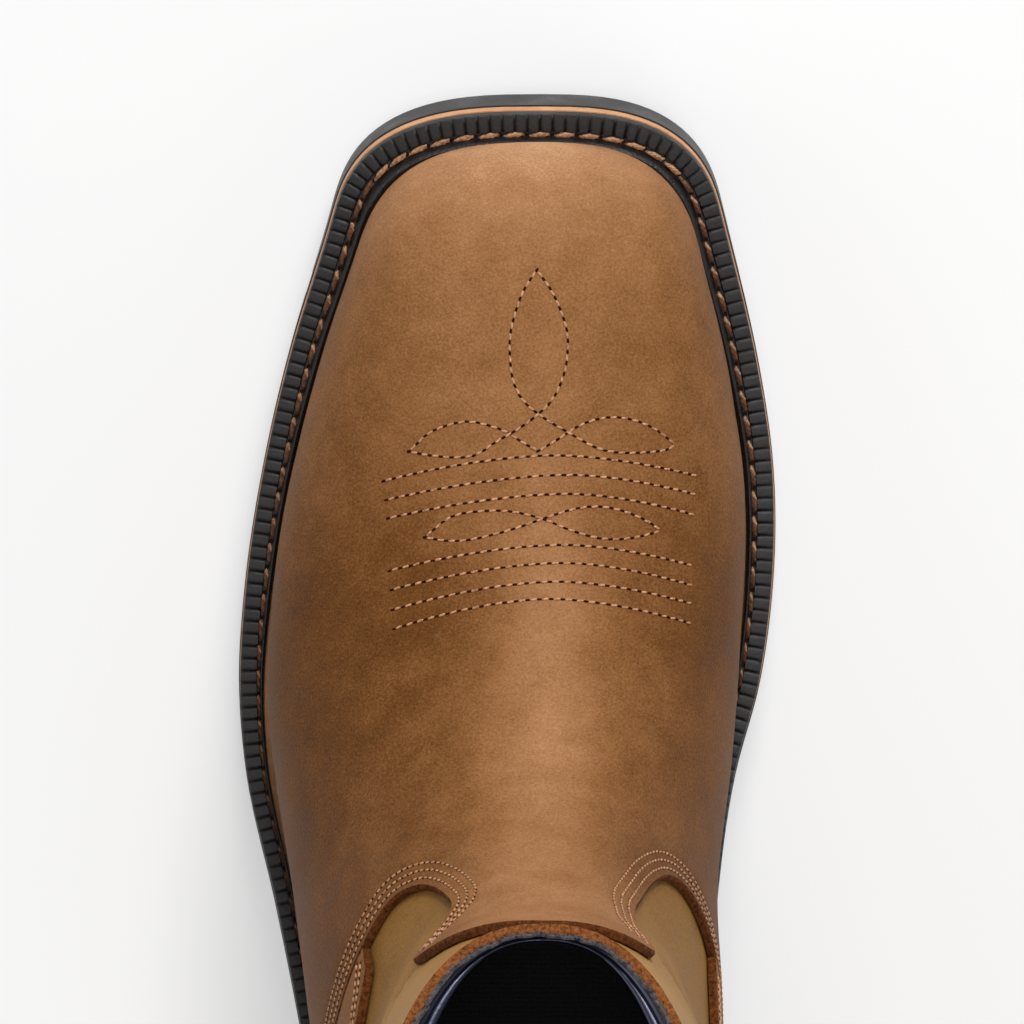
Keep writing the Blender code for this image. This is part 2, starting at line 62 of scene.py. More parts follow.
SOLE_OUTLINE = (
    (3.9, 39.7, 34.4, 7.6, 0.9),
    (31.0, 47.5, 41.8, 8.5, 0.9),
    (58.0, 56.0, 48.4, 8.1, 0.9),
    (84.0, 62.0, 52.2, 7.4, 0.9),
    (111.0, 66.0, 51.9, 7.2, 1.1),
    (131.0, 67.1, 49.1, 7.0, 1.4),
    (151.0, 65.4, 43.6, 6.8, 1.8),
    (178.0, 59.0, 39.5, 6.4, 2.2),
    (209.0, 52.6, 37.3, 6.3, 2.5),
    (240.0, 47.8, 36.5, 6.5, 2.8),
    (270.0, 44.0, 36.8, 6.6, 3.1),
    (312.0, 42.0, 38.0, 6.6, 3.1),
)
TOE_ROUND = 23.0
TOE_POWER = 2.9
HEEL_ROUND = 40.0
HEEL_POWER = 2.1
BAR_LENGTH = 9.5
BAR_PITCH = 14.0
TOE_BAR = 37.5
FOREFOOT_BAR_COUNT = 10
FIRST_SHORT_BAR = 3
CHANNELS = ((-0.38, -0.28), (0.28, 0.38))
TREAD_SHARES = (-1.0, -0.7, -0.38, -0.28, 0.0, 0.28, 0.38, 0.7, 1.0)
FOREFOOT_BARS = [(SEAT_TIP, SEAT_TIP + TOE_BAR)]
FOREFOOT_BARS += [(SEAT_TIP + BAR_PITCH * index, SEAT_TIP + BAR_PITCH * index + BAR_LENGTH)
                  for index in range(FIRST_SHORT_BAR, FOREFOOT_BAR_COUNT)]
MOULDED_ROUND = 0.5
RUBBER_BLACK = (30, 28, 28)
RUBBER_DUST = (48, 45, 44)


def smooth_rows(knots, rows, at):
    """Read a table's rows at any place between its knots, on a smooth curve through them."""
    knots = np.asarray(knots, float)
    rows = np.asarray(rows, float)
    slopes = np.gradient(rows, knots, axis=0)
    at = np.atleast_1d(np.asarray(at, float))
    first = np.clip(np.searchsorted(knots, at, side="right") - 1, 0, len(knots) - 2)
    step = (knots[first + 1] - knots[first])[:, None]
    t = (at[:, None] - knots[first][:, None]) / step
    return ((2 * t ** 3 - 3 * t ** 2 + 1) * rows[first] + (t ** 3 - 2 * t ** 2 + t) * step * slopes[first]
            + (3 * t ** 2 - 2 * t ** 3) * rows[first + 1] + (t ** 3 - t ** 2) * step * slopes[first + 1])


def seat(along):
    """Height of the seat line, the top of the midsole."""
    toe = np.clip((BALL_START - along) / (BALL_START - SEAT_TIP), 0.0, None)
    heel = np.clip((along - BALL_END) / (HEEL_SEAT_START - BALL_END), 0.0, 1.0)
    return BALL_SEAT + TOE_SPRING * toe ** TOE_SPRING_POWER + HEEL_RISE * heel ** 2 * (3 - 2 * heel)


def below_seat(along, depth):
    """Point at a depth square to the seat line, as along and height."""
    slope = (seat(along + 0.1) - seat(along - 0.1)) / 0.2
    square = 1.0 / np.sqrt(1.0 + slope ** 2)
    return along + depth * slope * square, seat(along) - depth * square


def rounded_ends(along, start, end):
    """Share of its width that an outline keeps towards its rounded toe and heel ends."""
    toe = np.clip((start + TOE_ROUND - along) / TOE_ROUND, 0.0, 1.0)
    heel = np.clip((along - end + HEEL_ROUND) / HEEL_ROUND, 0.0, 1.0)
    return ((1 - toe ** TOE_POWER) ** (1 / TOE_POWER)) * ((1 - heel ** HEEL_POWER) ** (1 / HEEL_POWER))


def outline_ends(welt_share, inset, lean_share=0.0):
    """Toe and heel ends of an outline set in from the sole's edge."""
    toe, heel = (dict(zip(SOLE_COLUMNS, SOLE_OUTLINE[row])) for row in (0, -1))
    start = SEAT_TIP + welt_share * toe["margin"] + inset - lean_share * toe["lean"]
    end = SOLE_END - welt_share * heel["margin"] - inset + lean_share * heel["lean"]
    return start, end


def straight_outline(along, welt_share=0.0, inset=0.0, lean_share=0.0):
    """Lateral and medial half-width of an outline before its ends are rounded."""
    knots = [row[0] for row in SOLE_OUTLINE]
    lateral, medial, margin, lean = smooth_rows(knots, [row[1:] for row in SOLE_OUTLINE], along).T
    taken = welt_share * margin + inset - lean_share * lean
    return lateral - taken, medial - taken


def outline(along, welt_share=0.0, inset=0.0, lean_share=0.0):
    """Lateral and medial half-width of an outline set in by a share of the welt and a distance."""
    lateral, medial = straight_outline(along, welt_share, inset, lean_share)
    kept = rounded_ends(np.asarray(along, float), *outline_ends(welt_share, inset, lean_share))
    return lateral * kept, medial * kept


def stations(start, end, count=70, end_count=22):
    """Places along an outline, close together at its rounded ends."""
    turn = np.linspace(0.0, math.pi / 2, end_count)
    toe = start + TOE_ROUND * (1 - np.cos(turn))
    heel = end - HEEL_ROUND * (1 - np.cos(turn))
    middle = np.linspace(toe[-1], heel[-1], count)
    return np.concatenate([toe[:-1], middle, heel[-2::-1]])


AXIS_SCAN = np.arange(SEAT_TIP, SOLE_END, 0.5)
MID_ACROSS = (outline(AXIS_SCAN)[0].max() - outline(AXIS_SCAN)[1].max()) / 2
TOE_END = float(below_seat(SEAT_TIP, OUTSOLE_TOP + OUTSOLE_THICK)[0])
MID_ALONG = (TOE_END + SOLE_END) / 2


def place(points):
    """Points of the boot in millimetres, as world points in metres."""
    return (np.asarray(points, float) - (MID_ACROSS, MID_ALONG, 0.0)) * MM


def move_to_level(geometry, level):
    """Give the vertices among some geometry a level as their height."""
    for item in geometry:
        if isinstance(item, bmesh.types.BMVert):
            item.co.z = level


def flat_layer(places, shares):
    """Flat layer of the sole in stations and shares of its width, from level 0 down to level 1."""
    layer = bmesh.new()
    bmesh.ops.create_grid(layer, x_segments=len(places) - 1, y_segments=len(shares) - 1, size=1)
    for vert in layer.verts:
        station = round((vert.co.x + 1) / 2 * (len(places) - 1))
        share = round((vert.co.y + 1) / 2 * (len(shares) - 1))
        vert.co = (places[station], shares[share], 0.0)
    bottom = bmesh.ops.extrude_face_region(layer, geom=layer.faces[:], use_keep_orig=True)["geom"]
    move_to_level(bottom, 1.0)
    return layer, [face for face in bottom if isinstance(face, bmesh.types.BMFace)]


def raise_lugs(layer, bottom_faces, bars, whole_bar):
    """Extrude the bottom's faces that lie in a bar to level 2; channels part all but the whole bar."""
    lugs = []
    for face in bottom_faces:
        middle = face.calc_center_median()
        for bar in bars:
            in_channel = bar != whole_bar and any(low < middle.y < high for low, high in CHANNELS)
            if bar[0] < middle.x < bar[1] and not in_channel:
                lugs.append(face)
    move_to_level(bmesh.ops.extrude_face_region(layer, geom=lugs)["geom"], 2.0)
    bmesh.ops.delete(layer, geom=lugs, context="FACES_ONLY")


def with_edges(places, edges, clear=0.8):
    """Stations with a bar's edges added, and those that lie too near an edge left out."""
    kept = [at for at in places[1:-1] if min(abs(at - edge) for edge in edges) > clear]
    return sorted([places[0], places[-1], *kept, *edges])


def press_layer(layer, welt_share, inset, place_level):
    """Move a flat layer to its place: place_level gives along and height for a station and level."""
    for vert in layer.verts:
        along, share, level = vert.co
        lateral, medial = (float(half[0]) for half in outline(along, welt_share, inset))
        across = lateral * share if share > 0 else medial * share
        vert.co = place((across, *place_level(along, level)))
    bmesh.ops.remove_doubles(layer, verts=layer.verts, dist=0.02 * MM)
    bmesh.ops.recalc_face_normals(layer, faces=layer.faces)


def linear(colour):
    """Linear shader colour of a colour in 0 to 255."""
    shares = [value / 255 for value in colour]
    return (*(s / 12.92 if s <= 0.04045 else ((s + 0.055) / 1.055) ** 2.4 for s in shares), 1.0)


def new_material(name, roughness):
    """Material with a principled shader and its Object coordinates."""
    material = bpy.data.materials.new(name)
    material.use_nodes = True
    nodes, links = material.node_tree.nodes, material.node_tree.links
    shader = nodes["Principled BSDF"]
    shader.inputs["Roughness"].default_value = roughness
    coords = nodes.new("ShaderNodeTexCoord").outputs["Object"]
    return material, nodes, links, shader, coords


def noise(nodes, links, coords, scale, detail=3.0, rough=0.55):
    """Noise over a piece, with its scale in grains a metre."""
    node = nodes.new("ShaderNodeTexNoise")
    node.inputs["Scale"].default_value = scale
    node.inputs["Detail"].default_value = detail
    node.inputs["Roughness"].default_value = rough
    links.new(coords, node.inputs["Vector"])
    return node.outputs["Fac"]


def spread(nodes, links, value, low, high, to_low, to_high):
    """A value's range moved to another range."""
    node = nodes.new("ShaderNodeMapRange")
    for socket, number in zip(("From Min", "From Max", "To Min", "To Max"), (low, high, to_low, to_high)):
        node.inputs[socket].default_value = number
    links.new(value, node.inputs["Value"])
    return node.outputs["Result"]


def ramp(nodes, links, value, stops):
    """Colours along a value, as pairs of a place and a colour in 0 to 255."""
    node = nodes.new("ShaderNodeValToRGB")
    elements = node.color_ramp.elements
    while len(elements) < len(stops):
        elements.new(0.5)
    for element, (at, colour) in zip(elements, stops):
        element.position = at
        element.color = linear(colour)
    links.new(value, node.inputs["Fac"])
    return node.outputs["Color"]


def arithmetic(nodes, links, operation, first, second):
    """Sum, product or other result of two values, of which the second may be a plain number."""
    node = nodes.new("ShaderNodeMath")
    node.operation = operation
    for socket, value in zip(node.inputs, (first, second)):
        if isinstance(value, (int, float)):
            socket.default_value = value
        else:
            links.new(value, socket)
    return node.outputs["Value"]


def bump(nodes, links, shader, height, distance, strength=1.0):
    """Relief of a height in metres at the value 1."""
    node = nodes.new("ShaderNodeBump")
    node.inputs["Distance"].default_value = distance
    node.inputs["Strength"].default_value = strength
    links.new(height, node.inputs["Height"])
    links.new(node.outputs["Normal"], shader.inputs["Normal"])


def stretched(nodes, links, coords, scale):
    """Coordinates with each axis scaled, so that a grain runs along the short one."""
    node = nodes.new("ShaderNodeMapping")
    node.inputs["Scale"].default_value = scale
    links.new(coords, node.inputs["Vector"])
    return node.outputs["Vector"]


def rubber_finish(name, colour, dust):
    """Moulded black rubber: dull, fine-grained and dusty, with upright lines where its edge was ground."""
    material, nodes, links, shader, coords = new_material(name, 0.55)
    cloud = noise(nodes, links, coords, 90, 4)
    ground = noise(nodes, links, stretched(nodes, links, coords, (1.0, 1.0, 0.06)), 1500, 2)
    grain = arithmetic(nodes, links, "ADD", noise(nodes, links, coords, 2600, 2), ground)
    tone = arithmetic(nodes, links, "ADD", cloud, spread(nodes, links, grain, 0.7, 1.3, -0.15, 0.15))
    links.new(ramp(nodes, links, tone, ((0.35, colour), (0.75, dust))), shader.inputs["Base Color"])
    links.new(spread(nodes, links, cloud, 0.3, 0.7, 0.42, 0.68), shader.inputs["Roughness"])
    bump(nodes, links, shader, grain, 0.00018, 0.7)
    return material


def add_piece(name, mesh_source, materials, node=None, smooth_angle=40.0):
    """Named object of a bmesh, riding on the boot's one body, in place of its CAD node."""
    mesh = bpy.data.meshes.new(name)
    mesh_source.to_mesh(mesh)
    mesh_source.free()
    mesh.shade_smooth()
    mesh.set_sharp_from_angle(angle=math.radians(smooth_angle))
    for material in materials:
        mesh.materials.append(material)
    piece = bpy.data.objects.new(name, mesh)
    bpy.context.scene.collection.objects.link(piece)
    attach(piece, "root")
    if node:
        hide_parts(node)
    return piece


def round_edges(piece, width, segments=2, angle=50.0):
    """Round the moulded edges of a rubber piece."""
    bevel = piece.modifiers.new("moulded_edges", "BEVEL")
    bevel.width = width * MM
    bevel.segments = segments
    bevel.limit_method = "ANGLE"
    bevel.angle_limit = math.radians(angle)
    bevel.harden_normals = False


outsole_edges = [edge for bar in FOREFOOT_BARS for edge in bar][1:]
outsole_places = with_edges(stations(SEAT_TIP, SOLE_END), outsole_edges)
outsole_mesh, outsole_bottom = flat_layer(outsole_places, TREAD_SHARES)
raise_lugs(outsole_mesh, outsole_bottom, FOREFOOT_BARS, FOREFOOT_BARS[0])
OUTSOLE_DEPTHS = (OUTSOLE_TOP, OUTSOLE_TOP + OUTSOLE_THICK - LUG_DEPTH, OUTSOLE_TOP + OUTSOLE_THICK)
press_layer(outsole_mesh, 0.0, 0.0, lambda along, level: below_seat(along, OUTSOLE_DEPTHS[round(level)]))
OUTSOLE_BLACK = rubber_finish("black_outsole_rubber", RUBBER_BLACK, RUBBER_DUST)
outsole = add_piece("outsole_rubber", outsole_mesh, [OUTSOLE_BLACK], "outsole")
round_edges(outsole, MOULDED_ROUND)

# Heel: a block of the same black rubber under the outsole's seat, nailed and glued on.
# Its own bars carry on the forefoot's tread, and the last bar is whole.
HEEL_BREAST = 240.0
HEEL_INSET = 0.6
HEEL_LUG = 4.0
HEEL_BAR_COUNT = 4
BREAST_CLEAR = 2.0
HEEL_BARS = [(HEEL_BREAST + BAR_PITCH * index, HEEL_BREAST + BAR_PITCH * index + BAR_LENGTH)
             for index in range(HEEL_BAR_COUNT)]
HEEL_BARS.append((HEEL_BREAST + BAR_PITCH * HEEL_BAR_COUNT, SOLE_END))
HEEL_TOP_DEPTH = OUTSOLE_TOP + OUTSOLE_THICK - LUG_DEPTH + GAP


def heel_level(along, level):
    """Along and height of the heel at its top, its grooves and the floor."""
    under, top = below_seat(along, HEEL_TOP_DEPTH)
    return under, (top, HEEL_LUG, 0.0)[round(level)]


heel_places = [at for at in stations(SEAT_TIP, SOLE_END - HEEL_INSET) if at > HEEL_BREAST + BREAST_CLEAR]
heel_edges = [edge for bar in HEEL_BARS for edge in bar][1:-1]
heel_mesh, heel_bottom = flat_layer(with_edges([HEEL_BREAST, *heel_places], heel_edges), TREAD_SHARES)
raise_lugs(heel_mesh, heel_bottom, HEEL_BARS, HEEL_BARS[-1])
press_layer(heel_mesh, 0.0, HEEL_INSET, heel_level)
HEEL_BLACK = rubber_finish("black_heel_rubber", RUBBER_BLACK, RUBBER_DUST)
heel = add_piece("heel_block", heel_mesh, [HEEL_BLACK], "heel")
round_edges(heel, MOULDED_ROUND)

# Midsole: a thin layer of tan rubber between outsole and welt, cut with them after they are joined.
# Only its cut edge shows, as a tan line round the sole.
MIDSOLE_INSET = 0.3
MIDSOLE_DARK = (188, 130, 84)
MIDSOLE_LIGHT = (216, 160, 114)


def cut_edge_finish(name, dark, light):
    """Cut edge of a layer, with faint lines from the knife."""
    material, nodes, links, shader, coords = new_material(name, 0.6)
    tone = noise(nodes, links, coords, 260, 4)
    links.new(ramp(nodes, links, tone, ((0.3, dark), (0.7, light))), shader.inputs["Base Color"])
    bump(nodes, links, shader, noise(nodes, links, coords, 1800, 2), 0.0001, 0.6)
    return material


midsole_mesh, _ = flat_layer(stations(*outline_ends(0.0, MIDSOLE_INSET)), (-1.0, 0.0, 1.0))
press_layer(midsole_mesh, 0.0, MIDSOLE_INSET, lambda along, level: below_seat(along, level * MIDSOLE_THICK))
MIDSOLE_TAN = cut_edge_finish("tan_midsole_rubber", MIDSOLE_DARK, MIDSOLE_LIGHT)
add_piece("midsole_layer", midsole_mesh, [MIDSOLE_TAN], "midsole")

# Welt: a black strip round the whole sole, sewn through to it, with cross ribs pressed into its top,
# a groove for the thread, and a smooth raised bead that stands against the upper.
# Share of the welt's width from its outer edge, height over the seat, and how deep ribs are pressed there.
# The ribs keep their width where the welt narrows under the upper
WELT_PROFILE = (
    (0.00, 0.0, 0.0),
    (0.00, 1.4, 0.1),
    (0.01, 2.4, 0.6),
    (0.03, 2.8, 1.0),
    (0.24, 3.0, 1.0),
    (0.45, 3.1, 1.0),
    (0.58, 3.1, 1.0),
    (0.60, 2.8, 0.8),
    (0.62, 2.2, 0.0),
    (0.78, 2.2, 0.0),
    (0.80, 2.7, 0.0),
    (0.83, 4.0, 0.0),
    (0.88, 5.0, 0.0),
    (0.95, 5.4, 0.0),
    (1.02, 5.1, 0.0),
    (1.07, 4.4, 0.0),
    (1.10, 3.4, 0.0),
    (1.10, 0.0, 0.0),
)
BEAD_CORNER = 10
RIB_SHARE = 0.60
RIB_WIDTH = 3.8
RIB_WIDEST = 0.76
WELT_INSET = 0.5
BEAD_INSET = -0.1
RIB_PITCH = 2.8
RIB_DEPTH = 0.6
RIB_WAVE = (0.0, 0.8, 1.0, 1.0, 1.0, 1.0, 1.0, 0.95, 0.9, 0.6)
RIB_STEPS = len(RIB_WAVE)
WELT_REACH = 14.0
HALVINGS = 30
WAIST = (125.0, 160.0)
WAIST_OVERHANG = 0.45


def closed_line(welt_share, inset, lean_share, spacing):
    """Closed outline in plan, in equal steps, with its inward directions."""
    ends = outline_ends(welt_share, inset, lean_share)
    along = stations(*ends, 400, 120)
    lateral, medial = outline(along, welt_share, inset, lean_share)
    ring = np.concatenate([np.stack([lateral, along], 1), np.stack([-medial, along], 1)[-2:0:-1]])
    ring = np.vstack([ring, ring[:1]])
    lengths = np.concatenate([[0.0], np.cumsum(np.linalg.norm(np.diff(ring, axis=0), axis=1))])
    count = max(round(lengths[-1] / spacing), 8)
    at = np.arange(count) * lengths[-1] / count
    line = np.stack([np.interp(at, lengths, ring[:, axis]) for axis in (0, 1)], 1)
    ahead = np.roll(line, -2, axis=0) - np.roll(line, 2, axis=0)
    inward = np.stack([-ahead[:, 1], ahead[:, 0]], 1)
    return line, inward / np.linalg.norm(inward, axis=1)[:, None]


def reach_to(line, inward, welt_share, inset, lean_share):
    """Distance from each point of a line, straight inward, to another outline."""
    near, far = np.zeros(len(line)), np.full(len(line), WELT_REACH)
    for _ in range(HALVINGS):
        middle = (near + far) / 2
        point = line + inward * middle[:, None]
        lateral, medial = outline(point[:, 1], welt_share, inset, lean_share)
        start, end = outline_ends(welt_share, inset, lean_share)
        within = (point[:, 0] < lateral) & (point[:, 0] > -medial)
        within &= (point[:, 1] > start) & (point[:, 1] < end)
        near, far = np.where(within, near, middle), np.where(within, middle, far)
    return near


def across_welt(share, width):
    """Distance from the welt's outer edge at a share of its width."""
    ribs = np.minimum(RIB_WIDTH, RIB_WIDEST * width)
    return np.where(share < RIB_SHARE, share / RIB_SHARE * ribs,
                    ribs + (share - RIB_SHARE) / (1 - RIB_SHARE) * (width - ribs))


def over_seat(plan, height):
    """Points over the seat line from points in plan."""
    along, level = below_seat(plan[:, 1], -height)
    return place(np.stack([plan[:, 0], along, level], 1))


def wall_of_rings(rings, steps, is_second, weld):
    """Closed wall through rings of points; is_second says which bands have the second material."""
    wall = bmesh.new()
    bmesh.ops.create_grid(wall, x_segments=steps, y_segments=len(rings), size=1)
    for vert in wall.verts:
        vert.co = (round((vert.co.x + 1) / 2 * steps), round((vert.co.y + 1) / 2 * len(rings)), 0.0)
    for face in wall.faces:
        face.material_index = 1 if is_second(round(min(vert.co.y for vert in face.verts))) else 0
    for vert in wall.verts:
        ring = rings[round(vert.co.y) % len(rings)]
        vert.co = ring[round(vert.co.x) % len(ring)]
    bmesh.ops.remove_doubles(wall, verts=wall.verts, dist=weld * MM)
    bmesh.ops.recalc_face_normals(wall, faces=wall.faces)
    return wall


rib_step = RIB_PITCH / RIB_STEPS
welt_line, _ = closed_line(0.0, WELT_INSET, 0.0, rib_step)
whole_ribs = len(welt_line) - len(welt_line) % RIB_STEPS
welt_line, welt_inward = closed_line(0.0, WELT_INSET, 0.0, rib_step * len(welt_line) / whole_ribs)
welt_line -= welt_inward * np.interp(welt_line[:, 1], WAIST, (0.0, WAIST_OVERHANG))[:, None]
welt_width = reach_to(welt_line, welt_inward, 1.0, BEAD_INSET, 1.0)
rib_wave = np.array(RIB_WAVE)[np.arange(len(welt_line)) % RIB_STEPS]

welt_rings = []
for share, height, ribbed in WELT_PROFILE:
    lowered = height - ribbed * RIB_DEPTH * (1 - rib_wave)
    plan = welt_line + welt_inward * across_welt(share, welt_width)[:, None]
    welt_rings.append(over_seat(plan, GAP + lowered))
welt_mesh = wall_of_rings(welt_rings, len(welt_line), lambda ring: ring >= BEAD_CORNER, 0.005)


def welt_finish(name, dark, light, smooth, rough, grain):
    """Black pressed welt between two shades and two roughnesses, with a fine grain of a depth."""
    material, nodes, links, shader, coords = new_material(name, rough)
    cloud = noise(nodes, links, coords, 160, 4)
    links.new(ramp(nodes, links, cloud, ((0.3, dark), (0.75, light))), shader.inputs["Base Color"])
    links.new(spread(nodes, links, cloud, 0.3, 0.7, smooth, rough), shader.inputs["Roughness"])
    bump(nodes, links, shader, noise(nodes, links, coords, 1100, 4, 0.7), grain, 0.8)
    return material


WELT_RIBS = welt_finish("black_welt_ribs", (14, 12, 12), (30, 27, 26), 0.45, 0.65, 0.0002)
WELT_BEAD = welt_finish("black_welt_bead", (12, 11, 12), (24, 22, 23), 0.2, 0.42, 0.0004)
add_piece("storm_welt", welt_mesh, [WELT_RIBS, WELT_BEAD], "welt", 60.0)

# Welt stitches: one thick waxed thread of two plies, sewn through welt, midsole and outsole.
# It lies in the welt's groove in long stitches and dives after each one into a needle hole of painted shade.
WELT_STITCH_PITCH = 5.8
WELT_STITCH_SHARE = 0.715
WELT_STITCH_HEIGHT = 2.75
PLY_COUNT = 6
PLY_LENGTH = 2.3
PLY_WIDTH = 0.95
PLY_SKEW = math.radians(24)
PLY_SPAN = 3.6
PLY_DIVE = 0.9
NEEDLE_HOLE = 1.0
HOLE_DEPTH = 0.55
HOLE_HEIGHT = 0.3
GRAIN_POWER = 0.7
GROOVE_SHARE = 0.18
TOE_TURN = 0.7
HIGHLIGHT_START = 0.5


def grain_shape(colour):
    """Mesh of one rounded grain of thread, of unit size along Z, with a material's number."""
    grain = bmesh.new()
    bmesh.ops.create_uvsphere(grain, u_segments=6, v_segments=5, radius=0.5)
    for vert in grain.verts:
        vert.co.z = math.copysign(abs(2 * vert.co.z) ** GRAIN_POWER / 2, vert.co.z)
    for face in grain.faces:
        face.material_index = colour
    shape = bpy.data.meshes.new("thread_grain")
    grain.to_mesh(shape)
    grain.free()
    return shape


GRAIN_SHAPES = [grain_shape(colour) for colour in (0, 1, 2)]


def lay_grain(thread, middle, way, up, size, colour=0):
    """One rounded grain of thread along a way on a face, its size given as length, width and height."""
    side = up.cross(way).normalized()
    up = way.cross(side).normalized()
    columns = (side * size[1] * MM, up * size[2] * MM, way.normalized() * size[0] * MM)
    turned = Matrix(columns).transposed().to_4x4()
    turned.translation = middle
    grain = GRAIN_SHAPES[colour].copy()
    grain.transform(turned)
    thread.from_mesh(grain)
    bpy.data.meshes.remove(grain)


def thread_finish(name, dark, light):
    """Waxed thread: fine fibres with darker wax between them."""
    material, nodes, links, shader, coords = new_material(name, 0.55)
    fibre = noise(nodes, links, coords, 1300, 4, 0.65)
    links.new(ramp(nodes, links, fibre, ((0.3, dark), (0.62, light))), shader.inputs["Base Color"])
    bump(nodes, links, shader, fibre, 0.0002, 0.8)
    return material


def painted_hole_shade_finish():
    """Painted shade of a needle hole: a dark brown mark where the thread goes in."""
    material, nodes, links, shader, coords = new_material("painted_needle_hole_shade", 0.9)
    shade = noise(nodes, links, coords, 900, 2)
    stops = ((0.3, (26, 12, 6)), (0.7, (52, 27, 14)))
    links.new(ramp(nodes, links, shade, stops), shader.inputs["Base Color"])
    shader.inputs["Specular IOR Level"].default_value = 0.0
    return material


NEEDLE_HOLE_SHADE = painted_hole_shade_finish()
WELT_THREAD = thread_finish("brown_welt_thread", (40, 22, 12), (112, 68, 38))
WELT_THREAD_HIGHLIGHT = thread_finish("painted_highlight_welt_thread", (92, 56, 32), (196, 146, 106))
stitch_line, stitch_inward = closed_line(0.0, WELT_INSET, 0.0, WELT_STITCH_PITCH)
stitch_width = reach_to(stitch_line, stitch_inward, 1.0, BEAD_INSET, 1.0)
stitch_plan = stitch_line + stitch_inward * across_welt(WELT_STITCH_SHARE, stitch_width)[:, None]
beside_ribs = stitch_width - np.minimum(RIB_WIDTH, RIB_WIDEST * stitch_width)
stitch_room = (1 - RIB_SHARE) ** -1 * GROOVE_SHARE * beside_ribs
stitch_spots = over_seat(stitch_plan, np.full(len(stitch_plan), GAP + WELT_STITCH_HEIGHT))
welt_thread_mesh = bmesh.new()
for index, spot in enumerate(stitch_spots):
    ahead = Vector(stitch_spots[(index + 1) % len(stitch_spots)]) - Vector(stitch_spots[index - 1])
    ahead.normalize()
    slim = min(stitch_room[index] / PLY_WIDTH, 1.0)
    up = ahead.cross(Vector((0, 0, 1))).cross(ahead).normalized()
    across_toe = abs(ahead.x) > TOE_TURN
    for ply in range(PLY_COUNT):
        share = 2 * ply / (PLY_COUNT - 1) - 1
        middle = Vector(spot) + ahead * share * PLY_SPAN / 2 * MM - up * PLY_DIVE * abs(share) ** 3 * MM
        way = Matrix.Rotation(PLY_SKEW, 3, up) @ ahead
        # Plies at each stitch's toe-side end, and all plies across the toe, take a paler copy of the thread:
        # a painted highlight where they face the light from the toe.
        pale = across_toe or share * ahead.y < -HIGHLIGHT_START
        size = (PLY_LENGTH, PLY_WIDTH * slim, PLY_WIDTH)
        lay_grain(welt_thread_mesh, middle, way, up, size, 2 if pale else 0)
    gap = Vector(spot) + ahead * WELT_STITCH_PITCH / 2 * MM - up * HOLE_DEPTH * MM
    lay_grain(welt_thread_mesh, gap, ahead, up, (NEEDLE_HOLE, NEEDLE_HOLE, HOLE_HEIGHT), 1)
add_piece("welt_stitches", welt_thread_mesh, [WELT_THREAD, NEEDLE_HOLE_SHADE, WELT_THREAD_HIGHLIGHT])

# Insole: a board with a dark textile sock over it, cut a little smaller than the upper's inside.
# It is laid inside the upper on the welt's seam.
UPPER_WALL = 2.0
OVERLAY_THICK = 1.8
OVERLAY_STEP = GAP + OVERLAY_THICK
INSOLE_THICK = 3.5
INSOLE_CLEAR = 1.3
INSOLE_ROUND = 0.8
INSOLE_INSET = OVERLAY_STEP + UPPER_WALL + INSOLE_CLEAR


def woven_finish(name, dark, light, threads):
    """Woven textile: two crossed sets of threads with a soft fuzz."""
    material, nodes, links, shader, coords = new_material(name, 0.85)
    heights = []
    for direction in ("X", "Y"):
        wave = nodes.new("ShaderNodeTexWave")
        wave.bands_direction = direction
        wave.inputs["Scale"].default_value = threads
        wave.inputs["Distortion"].default_value = 1.5
        links.new(coords, wave.inputs["Vector"])
        heights.append(wave.outputs["Fac"])
    weave = arithmetic(nodes, links, "MULTIPLY", heights[0], heights[1])
    fuzz = arithmetic(nodes, links, "ADD", weave, noise(nodes, links, coords, 1500, 3))
    links.new(ramp(nodes, links, fuzz, ((0.3, dark), (0.9, light))), shader.inputs["Base Color"])
    bump(nodes, links, shader, fuzz, 0.0003, 0.7)
    return material


insole_mesh, _ = flat_layer(stations(*outline_ends(1.0, INSOLE_INSET)), (-1.0, -0.5, 0.0, 0.5, 1.0))
press_layer(insole_mesh, 1.0, INSOLE_INSET,
            lambda along, level: below_seat(along, level * INSOLE_THICK - GAP - INSOLE_THICK))
# The sock's dark cloth is made near black, as painted shade of the boot's inside.
DARK_SOCK_WITH_PAINTED_SHADE = woven_finish("dark_insole_sock_with_painted_shade", (9, 9, 10), (20, 19, 20), 300)
insole = add_piece("insole_sock", insole_mesh, [DARK_SOCK_WITH_PAINTED_SHADE], "insole")
round_edges(insole, INSOLE_ROUND)

